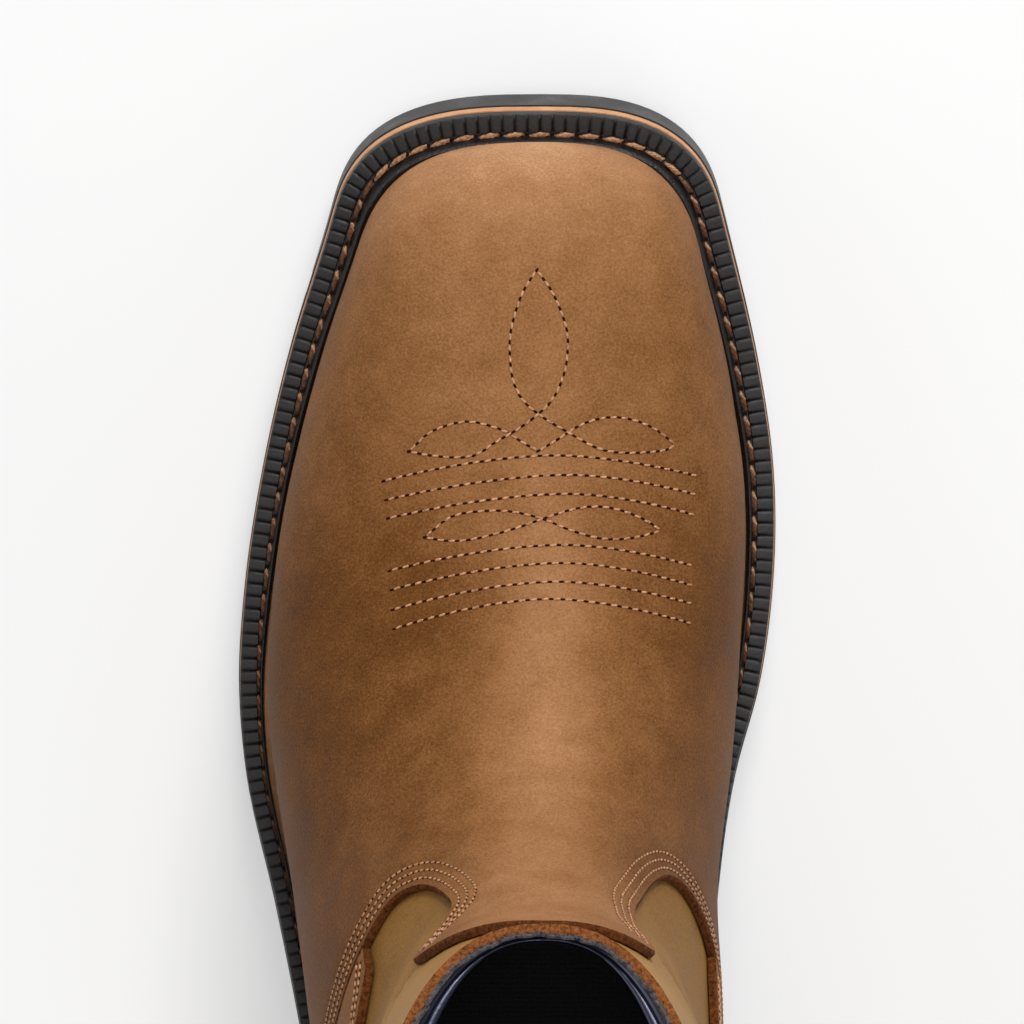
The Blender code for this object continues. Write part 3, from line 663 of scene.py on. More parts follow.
# Upper: one leather wall drawn over the last, from the toe round the heel to the collar, lined with
# a dark textile. It is lasted under the insole and held by the welt's seam.
SECTION_COLUMNS = ("top_along", "top_height", "base_along", "rise", "lateral", "medial",
                   "widest", "ridge", "power", "lift")
SECTIONS = (
    (13.6, 53.0, 13.6, 0.0, 29.6, 27.8, 0.70, -1.0, 2.5, 0.0),
    (37.6, 60.0, 37.6, 0.0, 37.4, 33.6, 0.70, -1.0, 2.4, 0.0),
    (64.0, 66.0, 64.0, 0.0, 47.2, 39.8, 0.71, -1.5, 2.3, 0.0),
    (93.0, 73.0, 93.0, 0.0, 54.4, 43.0, 0.72, -1.5, 2.15, 0.0),
    (120.0, 86.0, 122.0, 0.0, 57.5, 42.0, 0.71, -1.5, 2.0, 0.0),
    (140.0, 101.0, 150.0, 0.0, 56.5, 40.0, 0.69, -1.0, 1.95, 0.0),
    (154.5, 115.0, 185.0, 0.0, 52.0, 36.6, 0.67, -0.5, 1.95, 0.0),
    (163.5, 128.0, 222.0, 0.0, 48.2, 37.3, 0.63, 0.0, 2.0, 0.0),
    (169.0, 140.0, 262.0, 0.0, 44.2, 37.6, 0.59, 0.0, 2.05, 0.0),
    (173.2, 152.0, 290.0, 0.0, 41.4, 38.4, 0.55, 0.0, 2.15, 0.0),
    (175.7, 162.0, 303.3, 0.0, 40.2, 38.7, 0.52, 0.0, 2.3, 0.0),
    (177.5, 175.0, 306.8, 26.0, 39.5, 38.3, 0.50, 0.0, 2.4, 0.0),
    (178.4, 192.0, 307.6, 62.0, 39.2, 38.2, 0.50, 0.0, 2.4, 0.0),
    (177.8, 213.0, 305.0, 112.0, 38.3, 37.5, 0.50, 0.0, 2.35, 1.0),
    (175.9, 235.0, 305.5, 167.0, 37.0, 36.2, 0.50, 0.0, 2.35, 5.0),
    (173.5, 256.0, 309.0, 224.0, 35.6, 34.8, 0.50, 0.0, 2.35, 13.0),
)
COLLAR_ROW = len(SECTIONS) - 1
# The back line starts at this row, the heel is rounded over the first distance low down and over the
# second one on the shaft, between these heights
BACK_ROW = 10
BACK_ROUND = (40.0, 66.0)
BACK_HEIGHTS = (70.0, 210.0)
TOE_BOX_ROUND = 27.0
SIDE_RISE = 26.0
TOE_BOX_POWER = 2.2
TOE_TIP_SHARE = 0.28
SECTION_SAMPLES = 60
ROW_FINE = 200
TURN_FINE = 400
ROW_STEP = 0.03
TURN_STEP = 0.02
# The two halves meet past SEAM_TURN where the foot is narrower than SEAM_FOOT. Offsets turn level over
# LEVEL_TURNS, all the way where the foot is as wide as LEVEL_FOOT
SEAM_TURN = 0.999
SEAM_FOOT = 0.5
LEVEL_TURNS = (0.8, 0.95)
LEVEL_FOOT = 10.0


def back_line():
    """Heights and places of the back line, from the sole up to the collar."""
    rows = np.linspace(BACK_ROW, COLLAR_ROW, 2000)
    table = smooth_rows(range(len(SECTIONS)), SECTIONS, rows)
    along, rise = (table[:, SECTION_COLUMNS.index(name)] for name in ("base_along", "rise"))
    return seat(along) + GAP + np.maximum(rise, 0.0), along


BACK_LINE = back_line()


def heel_kept(along, height):
    """Share of its width that the upper keeps towards its rounded back."""
    back = np.interp(height, *BACK_LINE)
    reach = np.interp(height, BACK_HEIGHTS, BACK_ROUND)
    heel = np.clip((along - back + reach) / reach, 0.0, 1.0)
    return (1 - heel ** HEEL_POWER) ** (1 / HEEL_POWER)


def half_section(row, side):
    """Points of one half of a section in equal steps of its girth, and its half-width at the foot."""
    level = 1 - math.cos(row * math.pi / 2) if row < 1 else row
    table = smooth_rows(range(len(SECTIONS)), SECTIONS, level)[0]
    part = dict(zip(SECTION_COLUMNS, (float(value) for value in table)))
    start, _ = outline_ends(1.0, OVERLAY_STEP)
    base_along, rise = part["base_along"], max(part["rise"], 0.0)
    base_height = seat(base_along) + GAP + rise
    toe = min(max((start + TOE_ROUND - base_along) / TOE_ROUND, 0.0), 1.0)
    kept = (1 - toe ** TOE_POWER) ** (1 / TOE_POWER)
    box = min(max((start + TOE_BOX_ROUND - base_along) / TOE_BOX_ROUND, 0.0), 1.0)
    box = TOE_TIP_SHARE + (1 - TOE_TIP_SHARE) * (1 - box ** TOE_BOX_POWER) ** (1 / TOE_BOX_POWER)
    top_height = base_height + (part["top_height"] - base_height) * box
    foot = straight_outline(base_along, 1.0, OVERLAY_STEP)[0 if side > 0 else 1][0] * kept
    wide = max(part["lateral" if side > 0 else "medial"] * kept, foot)
    foot += (wide - foot) * min(rise / SIDE_RISE, 1.0)
    ridge = side * part["ridge"] * kept
    turn = np.linspace(0.0, math.pi / 2, SECTION_SAMPLES)
    power = 2 / part["power"]
    upper_across = ridge + (wide - ridge) * np.sin(turn) ** power
    upper_share = part["widest"] * (1 - np.clip(np.cos(turn), 0.0, 1.0) ** power)
    fall = np.sin(turn[1:])
    lower_across = foot + (wide - foot) * (1 - fall ** 2)
    lower_share = part["widest"] + (1 - part["widest"]) * fall
    across = np.concatenate([upper_across, lower_across])
    share = np.concatenate([upper_share, lower_share])
    along = part["top_along"] + share * (base_along - part["top_along"])
    level = top_height + share * (base_height - top_height)
    across *= heel_kept(along, level)
    if row >= BACK_ROW:
        across[-1] = 0.0
    lift = part["lift"] * (across / max(wide, 1.0)) ** 2
    points = np.stack([side * across, along, level + lift], axis=1)
    steps = np.linalg.norm(np.diff(points, axis=0), axis=1)
    girth = np.concatenate([[0.0], np.cumsum(steps)])
    at = np.linspace(0.0, girth[-1], TURN_FINE + 1)
    return np.stack([np.interp(at, girth, points[:, axis]) for axis in range(3)], 1), float(across[-1])


LAST = np.empty((2, COLLAR_ROW * ROW_FINE + 1, TURN_FINE + 1, 3))
LAST_FOOT = np.empty((2, COLLAR_ROW * ROW_FINE + 1))
for side_index, side in enumerate((1, -1)):
    for line in range(COLLAR_ROW * ROW_FINE + 1):
        LAST[side_index, line], LAST_FOOT[side_index, line] = half_section(line / ROW_FINE, side)


def skin(row, turn):
    """Points of the upper's outer face at rows and turns of the half girth, lateral turns positive."""
    side_index = np.where(turn >= 0, 0, 1)
    line = np.clip(row, 0.0, COLLAR_ROW) * ROW_FINE
    step = np.clip(np.abs(turn), 0.0, 1.0) * TURN_FINE
    low_line = np.minimum(line.astype(int), COLLAR_ROW * ROW_FINE - 1)
    low_step = np.minimum(step.astype(int), TURN_FINE - 1)
    u, v = (line - low_line)[:, None], (step - low_step)[:, None]
    corners = [LAST[side_index, low_line + up, low_step + on] for up, on in ((0, 0), (1, 0), (0, 1), (1, 1))]
    return ((1 - u) * (1 - v) * corners[0] + u * (1 - v) * corners[1]
            + (1 - u) * v * corners[2] + u * v * corners[3])


def skin_slopes(row, turn):
    """Directions along the rows and round the girth at points of the outer face."""
    along = skin(row + ROW_STEP, turn) - skin(row - ROW_STEP, turn)
    beside = np.maximum(row, ROW_STEP)
    ahead, behind = np.minimum(turn + TURN_STEP, 1.0), np.maximum(turn - TURN_STEP, -1.0)
    round_it = skin(beside, ahead) - skin(beside, behind)
    return along, round_it


def skin_offset(row, turn, offset):
    """Points at a distance outside the upper's outer face, level near the sole."""
    row, turn = np.asarray(row, float), np.asarray(turn, float)
    along, round_it = skin_slopes(row, turn)
    line = np.clip(np.round(row * ROW_FINE), 0, COLLAR_ROW * ROW_FINE).astype(int)
    foot = LAST_FOOT[np.where(turn >= 0, 0, 1), line]
    seam = (np.abs(turn) > SEAM_TURN) & (foot < SEAM_FOOT)
    round_it = np.where(seam[:, None], (-1.0, 0.0, 0.0), round_it)
    along[:, 0] = np.where(seam, 0.0, along[:, 0])
    normal = np.cross(round_it, along)
    normal = np.where((row < 0.001)[:, None], (0.0, -1.0, 0.0), normal)
    level = np.interp(np.abs(turn), LEVEL_TURNS, (0.0, 1.0)) * np.minimum(foot / LEVEL_FOOT, 1.0)
    normal[:, 2] *= 1 - level
    length = np.linalg.norm(normal, axis=1)[:, None]
    return skin(row, turn) + np.asarray(offset)[..., None] * normal / length


def set_in(line, distance):
    """Move a line of rows and turns sideways over the face, to the left of its direction in the pattern."""
    line = np.asarray(line, float)
    points = skin(line[:, 0], line[:, 1])
    ahead = np.gradient(points, axis=0)
    row, turn = line.T
    row_way = (skin(row + ROW_STEP, turn) - skin(row - ROW_STEP, turn)) / (2 * ROW_STEP)
    beyond, before = np.minimum(turn + TURN_STEP, 1.0), np.maximum(turn - TURN_STEP, -1.0)
    turn_way = skin(row, beyond) - skin(row, before)
    turn_way /= (beyond - before)[:, None]
    left = np.cross(np.cross(row_way, turn_way), ahead)
    left *= distance / np.maximum(np.linalg.norm(left, axis=1), 1e-9)[:, None]
    metric = np.stack([np.stack([(row_way * row_way).sum(1), (row_way * turn_way).sum(1)], 1),
                       np.stack([(row_way * turn_way).sum(1), (turn_way * turn_way).sum(1)], 1)], 1)
    wanted = np.stack([(row_way * left).sum(1), (turn_way * left).sum(1)], 1)
    return line + np.linalg.solve(metric, wanted[:, :, None])[:, :, 0]


def score(pattern, axis, lines):
    """Cut a flat pattern along straight lines, one after the other."""
    ahead = pattern.faces[:]
    normal = (1, 0, 0) if axis == 0 else (0, 1, 0)
    for line in lines:
        ahead = [face for face in ahead if max(vert.co[axis] for vert in face.verts) > line]
        geometry = {item for face in ahead for item in (face, *face.edges, *face.verts)}
        cut = bmesh.ops.bisect_plane(pattern, geom=list(geometry), dist=0.0008,
                                     plane_co=[line * share for share in normal], plane_no=normal)
        ahead = [item for item in cut["geom"] if isinstance(item, bmesh.types.BMFace)]


def flat_pattern(edge, rest, rim, rows_a_section, turns_a_side):
    """Flat leather pattern in rows and turns, with a rim of a width along its cut edge at level 1."""
    pattern = bmesh.new()
    edge = np.asarray(edge, float)
    inner_line = set_in(edge, rim) if rim else edge
    inner_line[:, 1] = np.where(np.abs(edge[:, 1]) == 1.0, edge[:, 1], inner_line[:, 1])
    inner = [pattern.verts.new((*point, 0.0)) for point in inner_line]
    pattern.faces.new(inner + [pattern.verts.new((*point, 0.0)) for point in rest])
    if rim:
        outer = [pattern.verts.new((*point, 1.0)) for point in edge]
        for index in range(len(edge) - 1):
            pattern.faces.new((outer[index], outer[index + 1], inner[index + 1], inner[index]))
    score(pattern, 0, np.arange(1, COLLAR_ROW * rows_a_section) / rows_a_section)
    score(pattern, 1, np.arange(-turns_a_side + 1, turns_a_side) / turns_a_side)
    return pattern


def drape(pattern, inner, outer, rim_drop, relief=None):
    """Draw a flat pattern over the last and give it a wall between two offsets; its rim slopes down."""
    layers = [pattern.verts.layers.float.new(name) for name in ("row", "turn", "rim")]
    flat = np.array([vert.co for vert in pattern.verts], float)
    for vert, co, values in zip(pattern.verts, place(skin_offset(flat[:, 0], flat[:, 1], inner)), flat):
        for layer, value in zip(layers, values):
            vert[layer] = value
        vert.co = co
    bmesh.ops.remove_doubles(pattern, verts=pattern.verts, dist=0.05 * MM)
    made = bmesh.ops.extrude_face_region(pattern, geom=pattern.faces[:], use_keep_orig=True)["geom"]
    top = [item for item in made if isinstance(item, bmesh.types.BMVert)]
    row, turn, rim = (np.array([vert[layer] for vert in top]) for layer in layers)
    height = outer - rim_drop * rim ** 1.5
    if relief is not None:
        height = height + relief(row, turn) * (1 - rim)
    for vert, co in zip(top, place(skin_offset(row, turn, height))):
        vert.co = co
    bmesh.ops.recalc_face_normals(pattern, faces=pattern.faces)
    top_faces = {item for item in made if isinstance(item, bmesh.types.BMFace)}
    return top_faces, layers


def edge_curve(table, steps):
    """Smooth line of rows and turns through an edge's table."""
    at = np.linspace(0, len(table) - 1, (len(table) - 1) * steps + 1)
    return smooth_rows(range(len(table)), table, at)


def leather_finish(name, colours):
    """Oiled nubuck in five colours from dark to light: short nap, cloudy tones, pores and a dull shine."""
    material, nodes, links, shader, coords = new_material(name, 0.55)
    shader.inputs["Specular IOR Level"].default_value = 0.06
    cloud = noise(nodes, links, coords, 22, 5, 0.6)
    patch = noise(nodes, links, coords, 130, 4, 0.6)
    nap = noise(nodes, links, coords, 1900, 3, 0.7)
    # The tone attribute moves each point along the ramp; on the vamp and shaft it carries painted shade and
    # painted highlights.
    tone = nodes.new("ShaderNodeAttribute")
    tone.attribute_name = "tone"
    shade = arithmetic(nodes, links, "MULTIPLY_ADD", cloud, 0.38)
    links.new(tone.outputs["Fac"], shade.node.inputs[2])
    shade = arithmetic(nodes, links, "ADD", shade, spread(nodes, links, patch, 0.3, 0.7, 0.02, 0.15))
    shade = arithmetic(nodes, links, "ADD", shade, spread(nodes, links, nap, 0.3, 0.7, -0.14, 0.14))
    stops = list(zip((0.0, 0.25, 0.5, 0.75, 1.0), colours))
    links.new(ramp(nodes, links, shade, stops), shader.inputs["Base Color"])
    links.new(spread(nodes, links, patch, 0.3, 0.7, 0.48, 0.62), shader.inputs["Roughness"])
    pores = nodes.new("ShaderNodeTexVoronoi")
    pores.inputs["Scale"].default_value = 1500
    links.new(coords, pores.inputs["Vector"])
    pits = spread(nodes, links, pores.outputs["Distance"], 0.0, 0.6, 0.0, 0.5)
    relief = arithmetic(nodes, links, "ADD", pits, nap)
    bump(nodes, links, shader, relief, 0.00022, 0.8)
    return material


def raw_edge_finish(name, dark, light):
    """Raw cut edge of the leather: loose fibres between two shades."""
    material, nodes, links, shader, coords = new_material(name, 0.9)
    fibre = noise(nodes, links, coords, 1100, 5, 0.8)
    links.new(ramp(nodes, links, fibre, ((0.34, dark), (0.66, light))), shader.inputs["Base Color"])
    bump(nodes, links, shader, fibre, 0.0009, 1.0)
    shader.inputs["Specular IOR Level"].default_value = 0.1
    return material


def set_tone(mesh_source, layers, tone):
    """Give each point its share of light or dark; on the vamp and shaft this is painted shade and painted
    highlights.
    """
    tone_layer = mesh_source.verts.layers.float.new("tone")
    row, turn = (np.array([vert[layer] for vert in mesh_source.verts]) for layer in layers[:2])
    for vert, value in zip(mesh_source.verts, tone(row, turn)):
        vert[tone_layer] = value


def line_tree(lines):
    """Search tree of the points of several lines, in millimetres."""
    points = np.vstack(lines)
    tree = KDTree(len(points))
    for index, point in enumerate(points):
        tree.insert(point, index)
    tree.balance()
    return tree


def distances(tree, points):
    """Distance from each point to the nearest one of a search tree."""
    return np.array([tree.find(point)[2] for point in points])


# Folds where the shaft bends over the ankle and beside the tongue: each a line of rows
# and turns, a depth and the width of its trough
SHAFT_FOLDS = (
    (((9.6, 0.16), (10.6, 0.2), (11.8, 0.27), (12.8, 0.33)), 1.3, 4.0),
    (((9.4, -0.2), (10.4, -0.26), (11.4, -0.36)), 1.0, 4.5),
    (((10.6, 0.42), (10.9, 0.52), (11.2, 0.66), (11.6, 0.8)), 1.2, 5.0),
    (((11.6, 0.38), (12.0, 0.5), (12.3, 0.64), (12.9, 0.78)), 0.9, 5.0),
    (((10.7, -0.46), (11.0, -0.56), (11.3, -0.7)), 1.1, 5.0),
    (((11.9, -0.4), (12.3, -0.56), (12.7, -0.72)), 0.9, 5.0),
)
FOLD_RIDGE = 0.45
RIDGE_AWAY = 1.9


def soft_folds(row, turn):
    """Relief of the shaft's folds: a trough with a low ridge beside it."""
    points = skin(row, turn)
    relief = np.zeros(len(row))
    for fold_line, depth, width in SHAFT_FOLDS:
        curve = edge_curve(fold_line, 20)
        away = distances(line_tree([skin(curve[:, 0], curve[:, 1])]), points)
        ridge = FOLD_RIDGE * np.exp(-((away - RIDGE_AWAY * width) / width) ** 2)
        relief += depth * (ridge - np.exp(-(away / width) ** 2))
    return relief


RAW_EDGE = raw_edge_finish("raw_leather_edge", (44, 22, 9), (140, 80, 36))
COLLAR_EDGE = raw_edge_finish("raw_collar_edge", (72, 36, 16), (188, 116, 64))
SHAFT_COLOURS = ((72, 45, 16), (106, 73, 33), (138, 99, 50), (160, 119, 64), (186, 144, 86))
SHAFT_TAN = leather_finish("shaft_leather_tan", SHAFT_COLOURS)
# Shaft tone: a base, then painted light making it paler up the shaft from a row over some rows, and painted
# shade and highlights on the folds
SHAFT_TONE = 0.2
PAINTED_LIGHT_UP = 0.24
PALER_FROM = 8.5
PALER_ROWS = 3.0
PAINTED_FOLD_SHADING = 0.1
upper_mesh = flat_pattern([(COLLAR_ROW, 1.0), (COLLAR_ROW, -1.0)], [(0.0, -1.0), (0.0, 1.0)], 0.0,
                          rows_a_section=12, turns_a_side=48)
upper_top, upper_layers = drape(upper_mesh, -UPPER_WALL, 0.0, 0.0, soft_folds)


def shaft_tone_with_painted_light(row, turn):
    """Leather paler up the shaft over painted shade low down; painted shade in fold troughs, painted
    highlights on ridges.
    """
    paler = np.clip((row - PALER_FROM) / PALER_ROWS, 0.0, 1.0)
    return SHAFT_TONE + PAINTED_LIGHT_UP * paler + PAINTED_FOLD_SHADING * soft_folds(row, turn)


set_tone(upper_mesh, upper_layers, shaft_tone_with_painted_light)
for face in upper_mesh.faces:
    face.material_index = 0 if face in upper_top else 1
    if face not in upper_top and min(vert[upper_layers[0]] for vert in face.verts) > COLLAR_ROW - 0.01:
        face.material_index = 2


def lining_finish():
    """Smooth black lining cloth with a coated face, slightly worn."""
    material, nodes, links, shader, coords = new_material("black_lining", 0.3)
    cloud = noise(nodes, links, coords, 160, 4)
    stops = ((0.3, (10, 10, 13)), (0.7, (20, 20, 26)))
    links.new(ramp(nodes, links, cloud, stops), shader.inputs["Base Color"])
    links.new(spread(nodes, links, cloud, 0.3, 0.7, 0.2, 0.32), shader.inputs["Roughness"])
    shader.inputs["Specular Tint"].default_value = linear((214, 220, 255))
    shader.inputs["Coat Weight"].default_value = 1.0
    shader.inputs["Coat Roughness"].default_value = 0.28
    shader.inputs["Coat Tint"].default_value = linear((206, 214, 255))
    bump(nodes, links, shader, noise(nodes, links, coords, 1600, 3), 0.00015, 0.7)
    return material


LINING = lining_finish()
add_piece("leather_upper", upper_mesh, [SHAFT_TAN, LINING, COLLAR_EDGE], "upper")

# Collar lining: the top of the lining, a black coated cloth glued inside the shaft, with a soft roll
# just under the collar and a frayed grey edge that shows beside the leather's own.
# Distance inside the upper's outer face, and depth under the collar; the first few points are the edge
COLLAR_ROLL = (
    (1.75, 0.1),
    (1.8, -0.3),
    (2.3, -0.4),
    (2.75, -0.1),
    (3.0, 0.9),
    (3.3, 2.4),
    (4.0, 2.6),
    (4.6, 2.25),
    (5.2, 2.1),
    (5.9, 2.15),
    (6.5, 2.5),
    (6.9, 3.4),
    (6.9, 4.8),
    (6.2, 8.0),
    (4.8, 13.0),
    (3.9, 20.0),
    (3.2, 30.0),
    (2.1, 30.0),
    (2.1, 15.0),
)
FRAYED_STEPS = 4
ROLL_TURNS = 240
COLLAR_STEP = 0.2
# Depth, radians a turn and start of each wave along the frayed edge
FRAY_WAVES = ((0.16, 61, 0), (0.14, 157, 1), (0.12, 263, 0))
# The roll lies flatter over these turns in front, past this distance inside
FLAT_TURNS = 0.15
FLAT_FROM = 2.3
FLAT_SHARE = 0.75

roll_turn = np.linspace(-1.0, 1.0, ROLL_TURNS + 1)
collar_rows = np.full(len(roll_turn), float(COLLAR_ROW))
row_length = np.linalg.norm(skin(collar_rows, roll_turn) - skin(collar_rows - COLLAR_STEP, roll_turn), axis=1)
row_length /= COLLAR_STEP
frayed = sum(depth * np.sin(waves * roll_turn + start) for depth, waves, start in FRAY_WAVES)
flat_front = np.exp(-(roll_turn / FLAT_TURNS) ** 2)
roll_rings = []
for corner, (inside, depth) in enumerate(COLLAR_ROLL):
    ragged = frayed if corner < FRAYED_STEPS else (inside - FLAT_FROM) * FLAT_SHARE * flat_front
    ring = skin_offset(collar_rows - depth / row_length, roll_turn, ragged - inside)
    roll_rings.append(place(ring + ((0.0, 0.0, max(-depth, 0.0)),)))
roll_mesh = wall_of_rings(roll_rings, ROLL_TURNS, lambda ring: ring < FRAYED_STEPS, 0.02)
FRAYED_EDGE = raw_edge_finish("frayed_lining_edge", (13, 11, 15), (126, 118, 119))
add_piece("collar_lining", roll_mesh, [LINING, FRAYED_EDGE])

# Vamp: a leather overlay over toe and instep, cut with a tongue in front of the shaft and a dip on
# each side of it. It is sewn to the upper along its raw edge, and lasted under with it.
VAMP_EDGE_LATERAL = (
    (11.7, 0.0),
    (11.25, 0.075),
    (10.35, 0.142),
    (9.5, 0.126),
    (8.65, 0.113),
    (8.1, 0.131),
    (7.65, 0.162),
    (7.4, 0.20),
    (7.36, 0.255),
    (7.6, 0.325),
    (7.85, 0.433),
    (7.98, 0.60),
    (7.95, 0.80),
    (7.65, 0.93),
    (7.4, 0.985),
)
VAMP_EDGE_MEDIAL = (
    (11.7, 0.0),
    (11.45, 0.065),
    (10.9, 0.12),
    (9.95, 0.112),
    (9.0, 0.119),
    (8.25, 0.135),
    (7.4, 0.185),
    (6.95, 0.235),
    (6.75, 0.29),
    (6.74, 0.37),
    (6.95, 0.50),
    (7.2, 0.64),
    (7.45, 0.82),
    (7.45, 0.93),
    (7.4, 0.985),
)
VAMP_FOOT = ((0.0, 0.84), (0.25, 0.91), (0.5, 0.95), (1.0, 0.975), (2.0, 0.985))
RIM = 0.5
RIM_DROP = 0.6
VAMP_COLOURS = ((66, 37, 10), (104, 64, 27), (140, 95, 56), (168, 121, 83), (202, 154, 114))
VAMP_BROWN = leather_finish("vamp_leather_brown", VAMP_COLOURS)
# Rows of stitches along the cut edge, each with its distance from it
EDGE_ROWS = (2.2, 4.15, 6.1)
EDGE_PITCH = 1.7
EDGE_END = 3
CORNER_STEP = 20
# Traditional toe stitching, in millimetres across and along: a lens between two leaves, a double leaf
# lying under it, and arcs given by their two ends and their peak
TOE_LINES = (
    ((28.5, 80.0), (24.0, 75.9), (18.5, 73.9), (14.7, 73.6), (9.9, 74.8), (6.6, 76.2), (3.9, 78.1),
     (0.5, 79.9)),
    ((0.5, 79.9), (-2.6, 78.1), (-6.0, 75.9), (-9.0, 74.1), (-13.4, 72.8), (-17.7, 72.7), (-22.6, 74.0),
     (-26.4, 76.2), (-29.2, 78.6)),
    ((28.5, 80.0), (25.0, 80.7), (20.7, 81.2), (16.4, 81.3), (13.2, 80.4), (9.9, 78.1), (6.6, 76.2),
     (3.9, 74.5), (0.5, 71.9), (-2.9, 68.3), (-5.3, 62.3), (-5.9, 55.8), (-5.1, 51.5),
     (-2.6, 45.5), (0.8, 40.6)),
    ((0.8, 40.6), (3.9, 45.5), (6.2, 52.6), (6.7, 58.0), (6.0, 64.5), (3.9, 68.9), (0.5, 71.9), (-2.6, 74.0),
     (-6.0, 75.9), (-9.0, 77.7), (-12.8, 79.5), (-17.2, 80.3), (-22.6, 80.2), (-27.0, 79.7), (-29.2, 78.6)),
    ((25.0, 98.6), (19.6, 94.3), (13.6, 93.0), (6.6, 93.0), (-0.4, 94.6), (-6.3, 97.0), (-12.8, 98.8),
     (-19.3, 98.8), (-26.0, 97.2)),
    ((25.0, 98.6), (19.6, 99.4), (14.2, 98.9), (6.6, 97.0), (-0.4, 94.6), (-6.3, 92.7), (-11.7, 91.9),
     (-17.1, 92.7), (-22.5, 94.8), (-26.0, 97.2)),
)
TOE_ARCS = (
    ((34.0, 86.4), (-3.1, 80.9), (-34.1, 85.3)),
    ((33.4, 90.5), (-6.3, 85.1), (-33.9, 89.4)),
    ((33.0, 94.5), (-5.9, 89.2), (-33.5, 93.8)),
    ((32.6, 105.8), (-4.8, 100.2), (-33.0, 104.8)),
    ((32.1, 109.9), (-4.8, 104.1), (-33.0, 109.1)),
    ((31.9, 114.2), (-3.5, 108.1), (-32.8, 113.0)),
    ((31.6, 118.3), (-2.0, 111.8), (-32.7, 117.3)),
)
ARC_POWER = 1.7
TOE_PITCH = 2.5
SEAM_DEPTH = 0.3
SEAM_WIDTH = 1.1
SEAM_SKEW = math.radians(9)
HOLE_LENGTH = 1.35
HOLE_WIDTH = 1.2
HOLE_FLAT = 0.2
THREAD_RISE = 0.1
TOE_ROWS = 5
# How pale the leather is, mostly painted light: over the toe, painted shade to its lateral and medial side
# and a painted highlight at its tip; along the instep, painted highlights as tones with their widths in
# turns, and painted shade on its sides; next to the welt, a painted highlight past a turn and up to a row.
# In INSTEP_START, FOOT_TURNS and FOOT_ROWS the second number is how far the change takes
TOE_TONE = 0.22
PAINTED_SIDE_SHADES = (0.2, 0.26)
SIDE_POWER = 1.2
PAINTED_TIP_HIGHLIGHT = 0.42
TIP_ROWS = 0.8
INSTEP_START = (2.2, 1.6)
PAINTED_INSTEP_HIGHLIGHTS = ((0.1, 0.3), (0.3, 0.12))
PAINTED_INSTEP_SHADE = 0.05
PAINTED_FOOT_HIGHLIGHT = 0.42
FOOT_TURNS = (0.8, 0.17)
FOOT_POWER = 1.5
FOOT_ROWS = (7.2, 2.2)


def arc_line(left, peak, right):
    """Points of an arc in plan, from its left end over its peak to its right end."""
    across = np.linspace(left[0], right[0], 80)
    end = np.where(across > peak[0], left[1], right[1])
    reach = np.where(across > peak[0], left[0] - peak[0], right[0] - peak[0])
    return np.stack([across, peak[1] + (end - peak[1]) * ((across - peak[0]) / reach) ** ARC_POWER], 1)


def even_steps(points, pitch):
    """Points of a line in equal steps of about a pitch."""
    lengths = np.concatenate([[0.0], np.cumsum(np.linalg.norm(np.diff(points, axis=0), axis=1))])
    at = np.linspace(0.0, lengths[-1], max(round(lengths[-1] / pitch), 1) + 1)
    return np.stack([np.interp(at, lengths, points[:, axis]) for axis in range(points.shape[1])], 1)


def rows_beside(edge, first, last):
    """Lines of the edge's rows of stitches over part of a cut edge, as points in millimetres."""
    lines = []
    for distance in EDGE_ROWS:
        line = set_in(edge, distance)[first:last]
        lines.append(skin_offset(line[:, 0], line[:, 1], OVERLAY_STEP))
    return lines


def sew(thread, tree, points, pitch, stitch):
    """Sew a line of stitches on a face: a grain of thread for each, and a needle hole of painted shade
    between two.
    """
    length, width = stitch
    spots = [tree.find_nearest(Vector(point)) for point in place(even_steps(points, pitch))]
    for first, second in zip(spots, spots[1:]):
        way = (second[0] - first[0]).normalized()
        up = (first[1] + second[1]).normalized()
        middle = (first[0] + second[0]) / 2 + up * THREAD_RISE * MM
        lay_grain(thread, middle, Matrix.Rotation(SEAM_SKEW, 3, up) @ way, up, (length, width, width))
        hole = (HOLE_LENGTH * (pitch - length), width * HOLE_WIDTH, HOLE_FLAT)
        lay_grain(thread, first[0], way, up, hole, 1)


vamp_lateral = edge_curve(VAMP_EDGE_LATERAL, 10)
vamp_medial = edge_curve(VAMP_EDGE_MEDIAL, 10) * (1.0, -1.0)
vamp_edge = np.vstack([vamp_medial[::-1], vamp_lateral[1:]])
vamp_foot = [*reversed(VAMP_FOOT), *((row, -turn) for row, turn in VAMP_FOOT)]
half_way = len(vamp_medial)
edge_lines = [*rows_beside(vamp_edge, EDGE_END, half_way - CORNER_STEP - EDGE_END),
              *rows_beside(vamp_edge, half_way + CORNER_STEP + EDGE_END - 1, -EDGE_END)]
toe_plans = [edge_curve(line, 12) for line in TOE_LINES] + [arc_line(*arc) for arc in TOE_ARCS]
edge_tree = line_tree([even_steps(line, 0.5) for line in edge_lines])
toe_tree = line_tree([np.pad(even_steps(plan, 0.5), ((0, 0), (0, 1))) for plan in toe_plans])


def vamp_relief(row, turn):
    """Leather drawn down along its seams."""
    points = skin_offset(row, turn, OVERLAY_STEP)
    on_toe = distances(toe_tree, points * (1.0, 1.0, 0.0))
    on_edge = distances(edge_tree, points)
    toe_seams = np.exp(-(on_toe / SEAM_WIDTH) ** 2) * (row < TOE_ROWS)
    return -SEAM_DEPTH * (toe_seams + np.exp(-(on_edge / SEAM_WIDTH) ** 2))


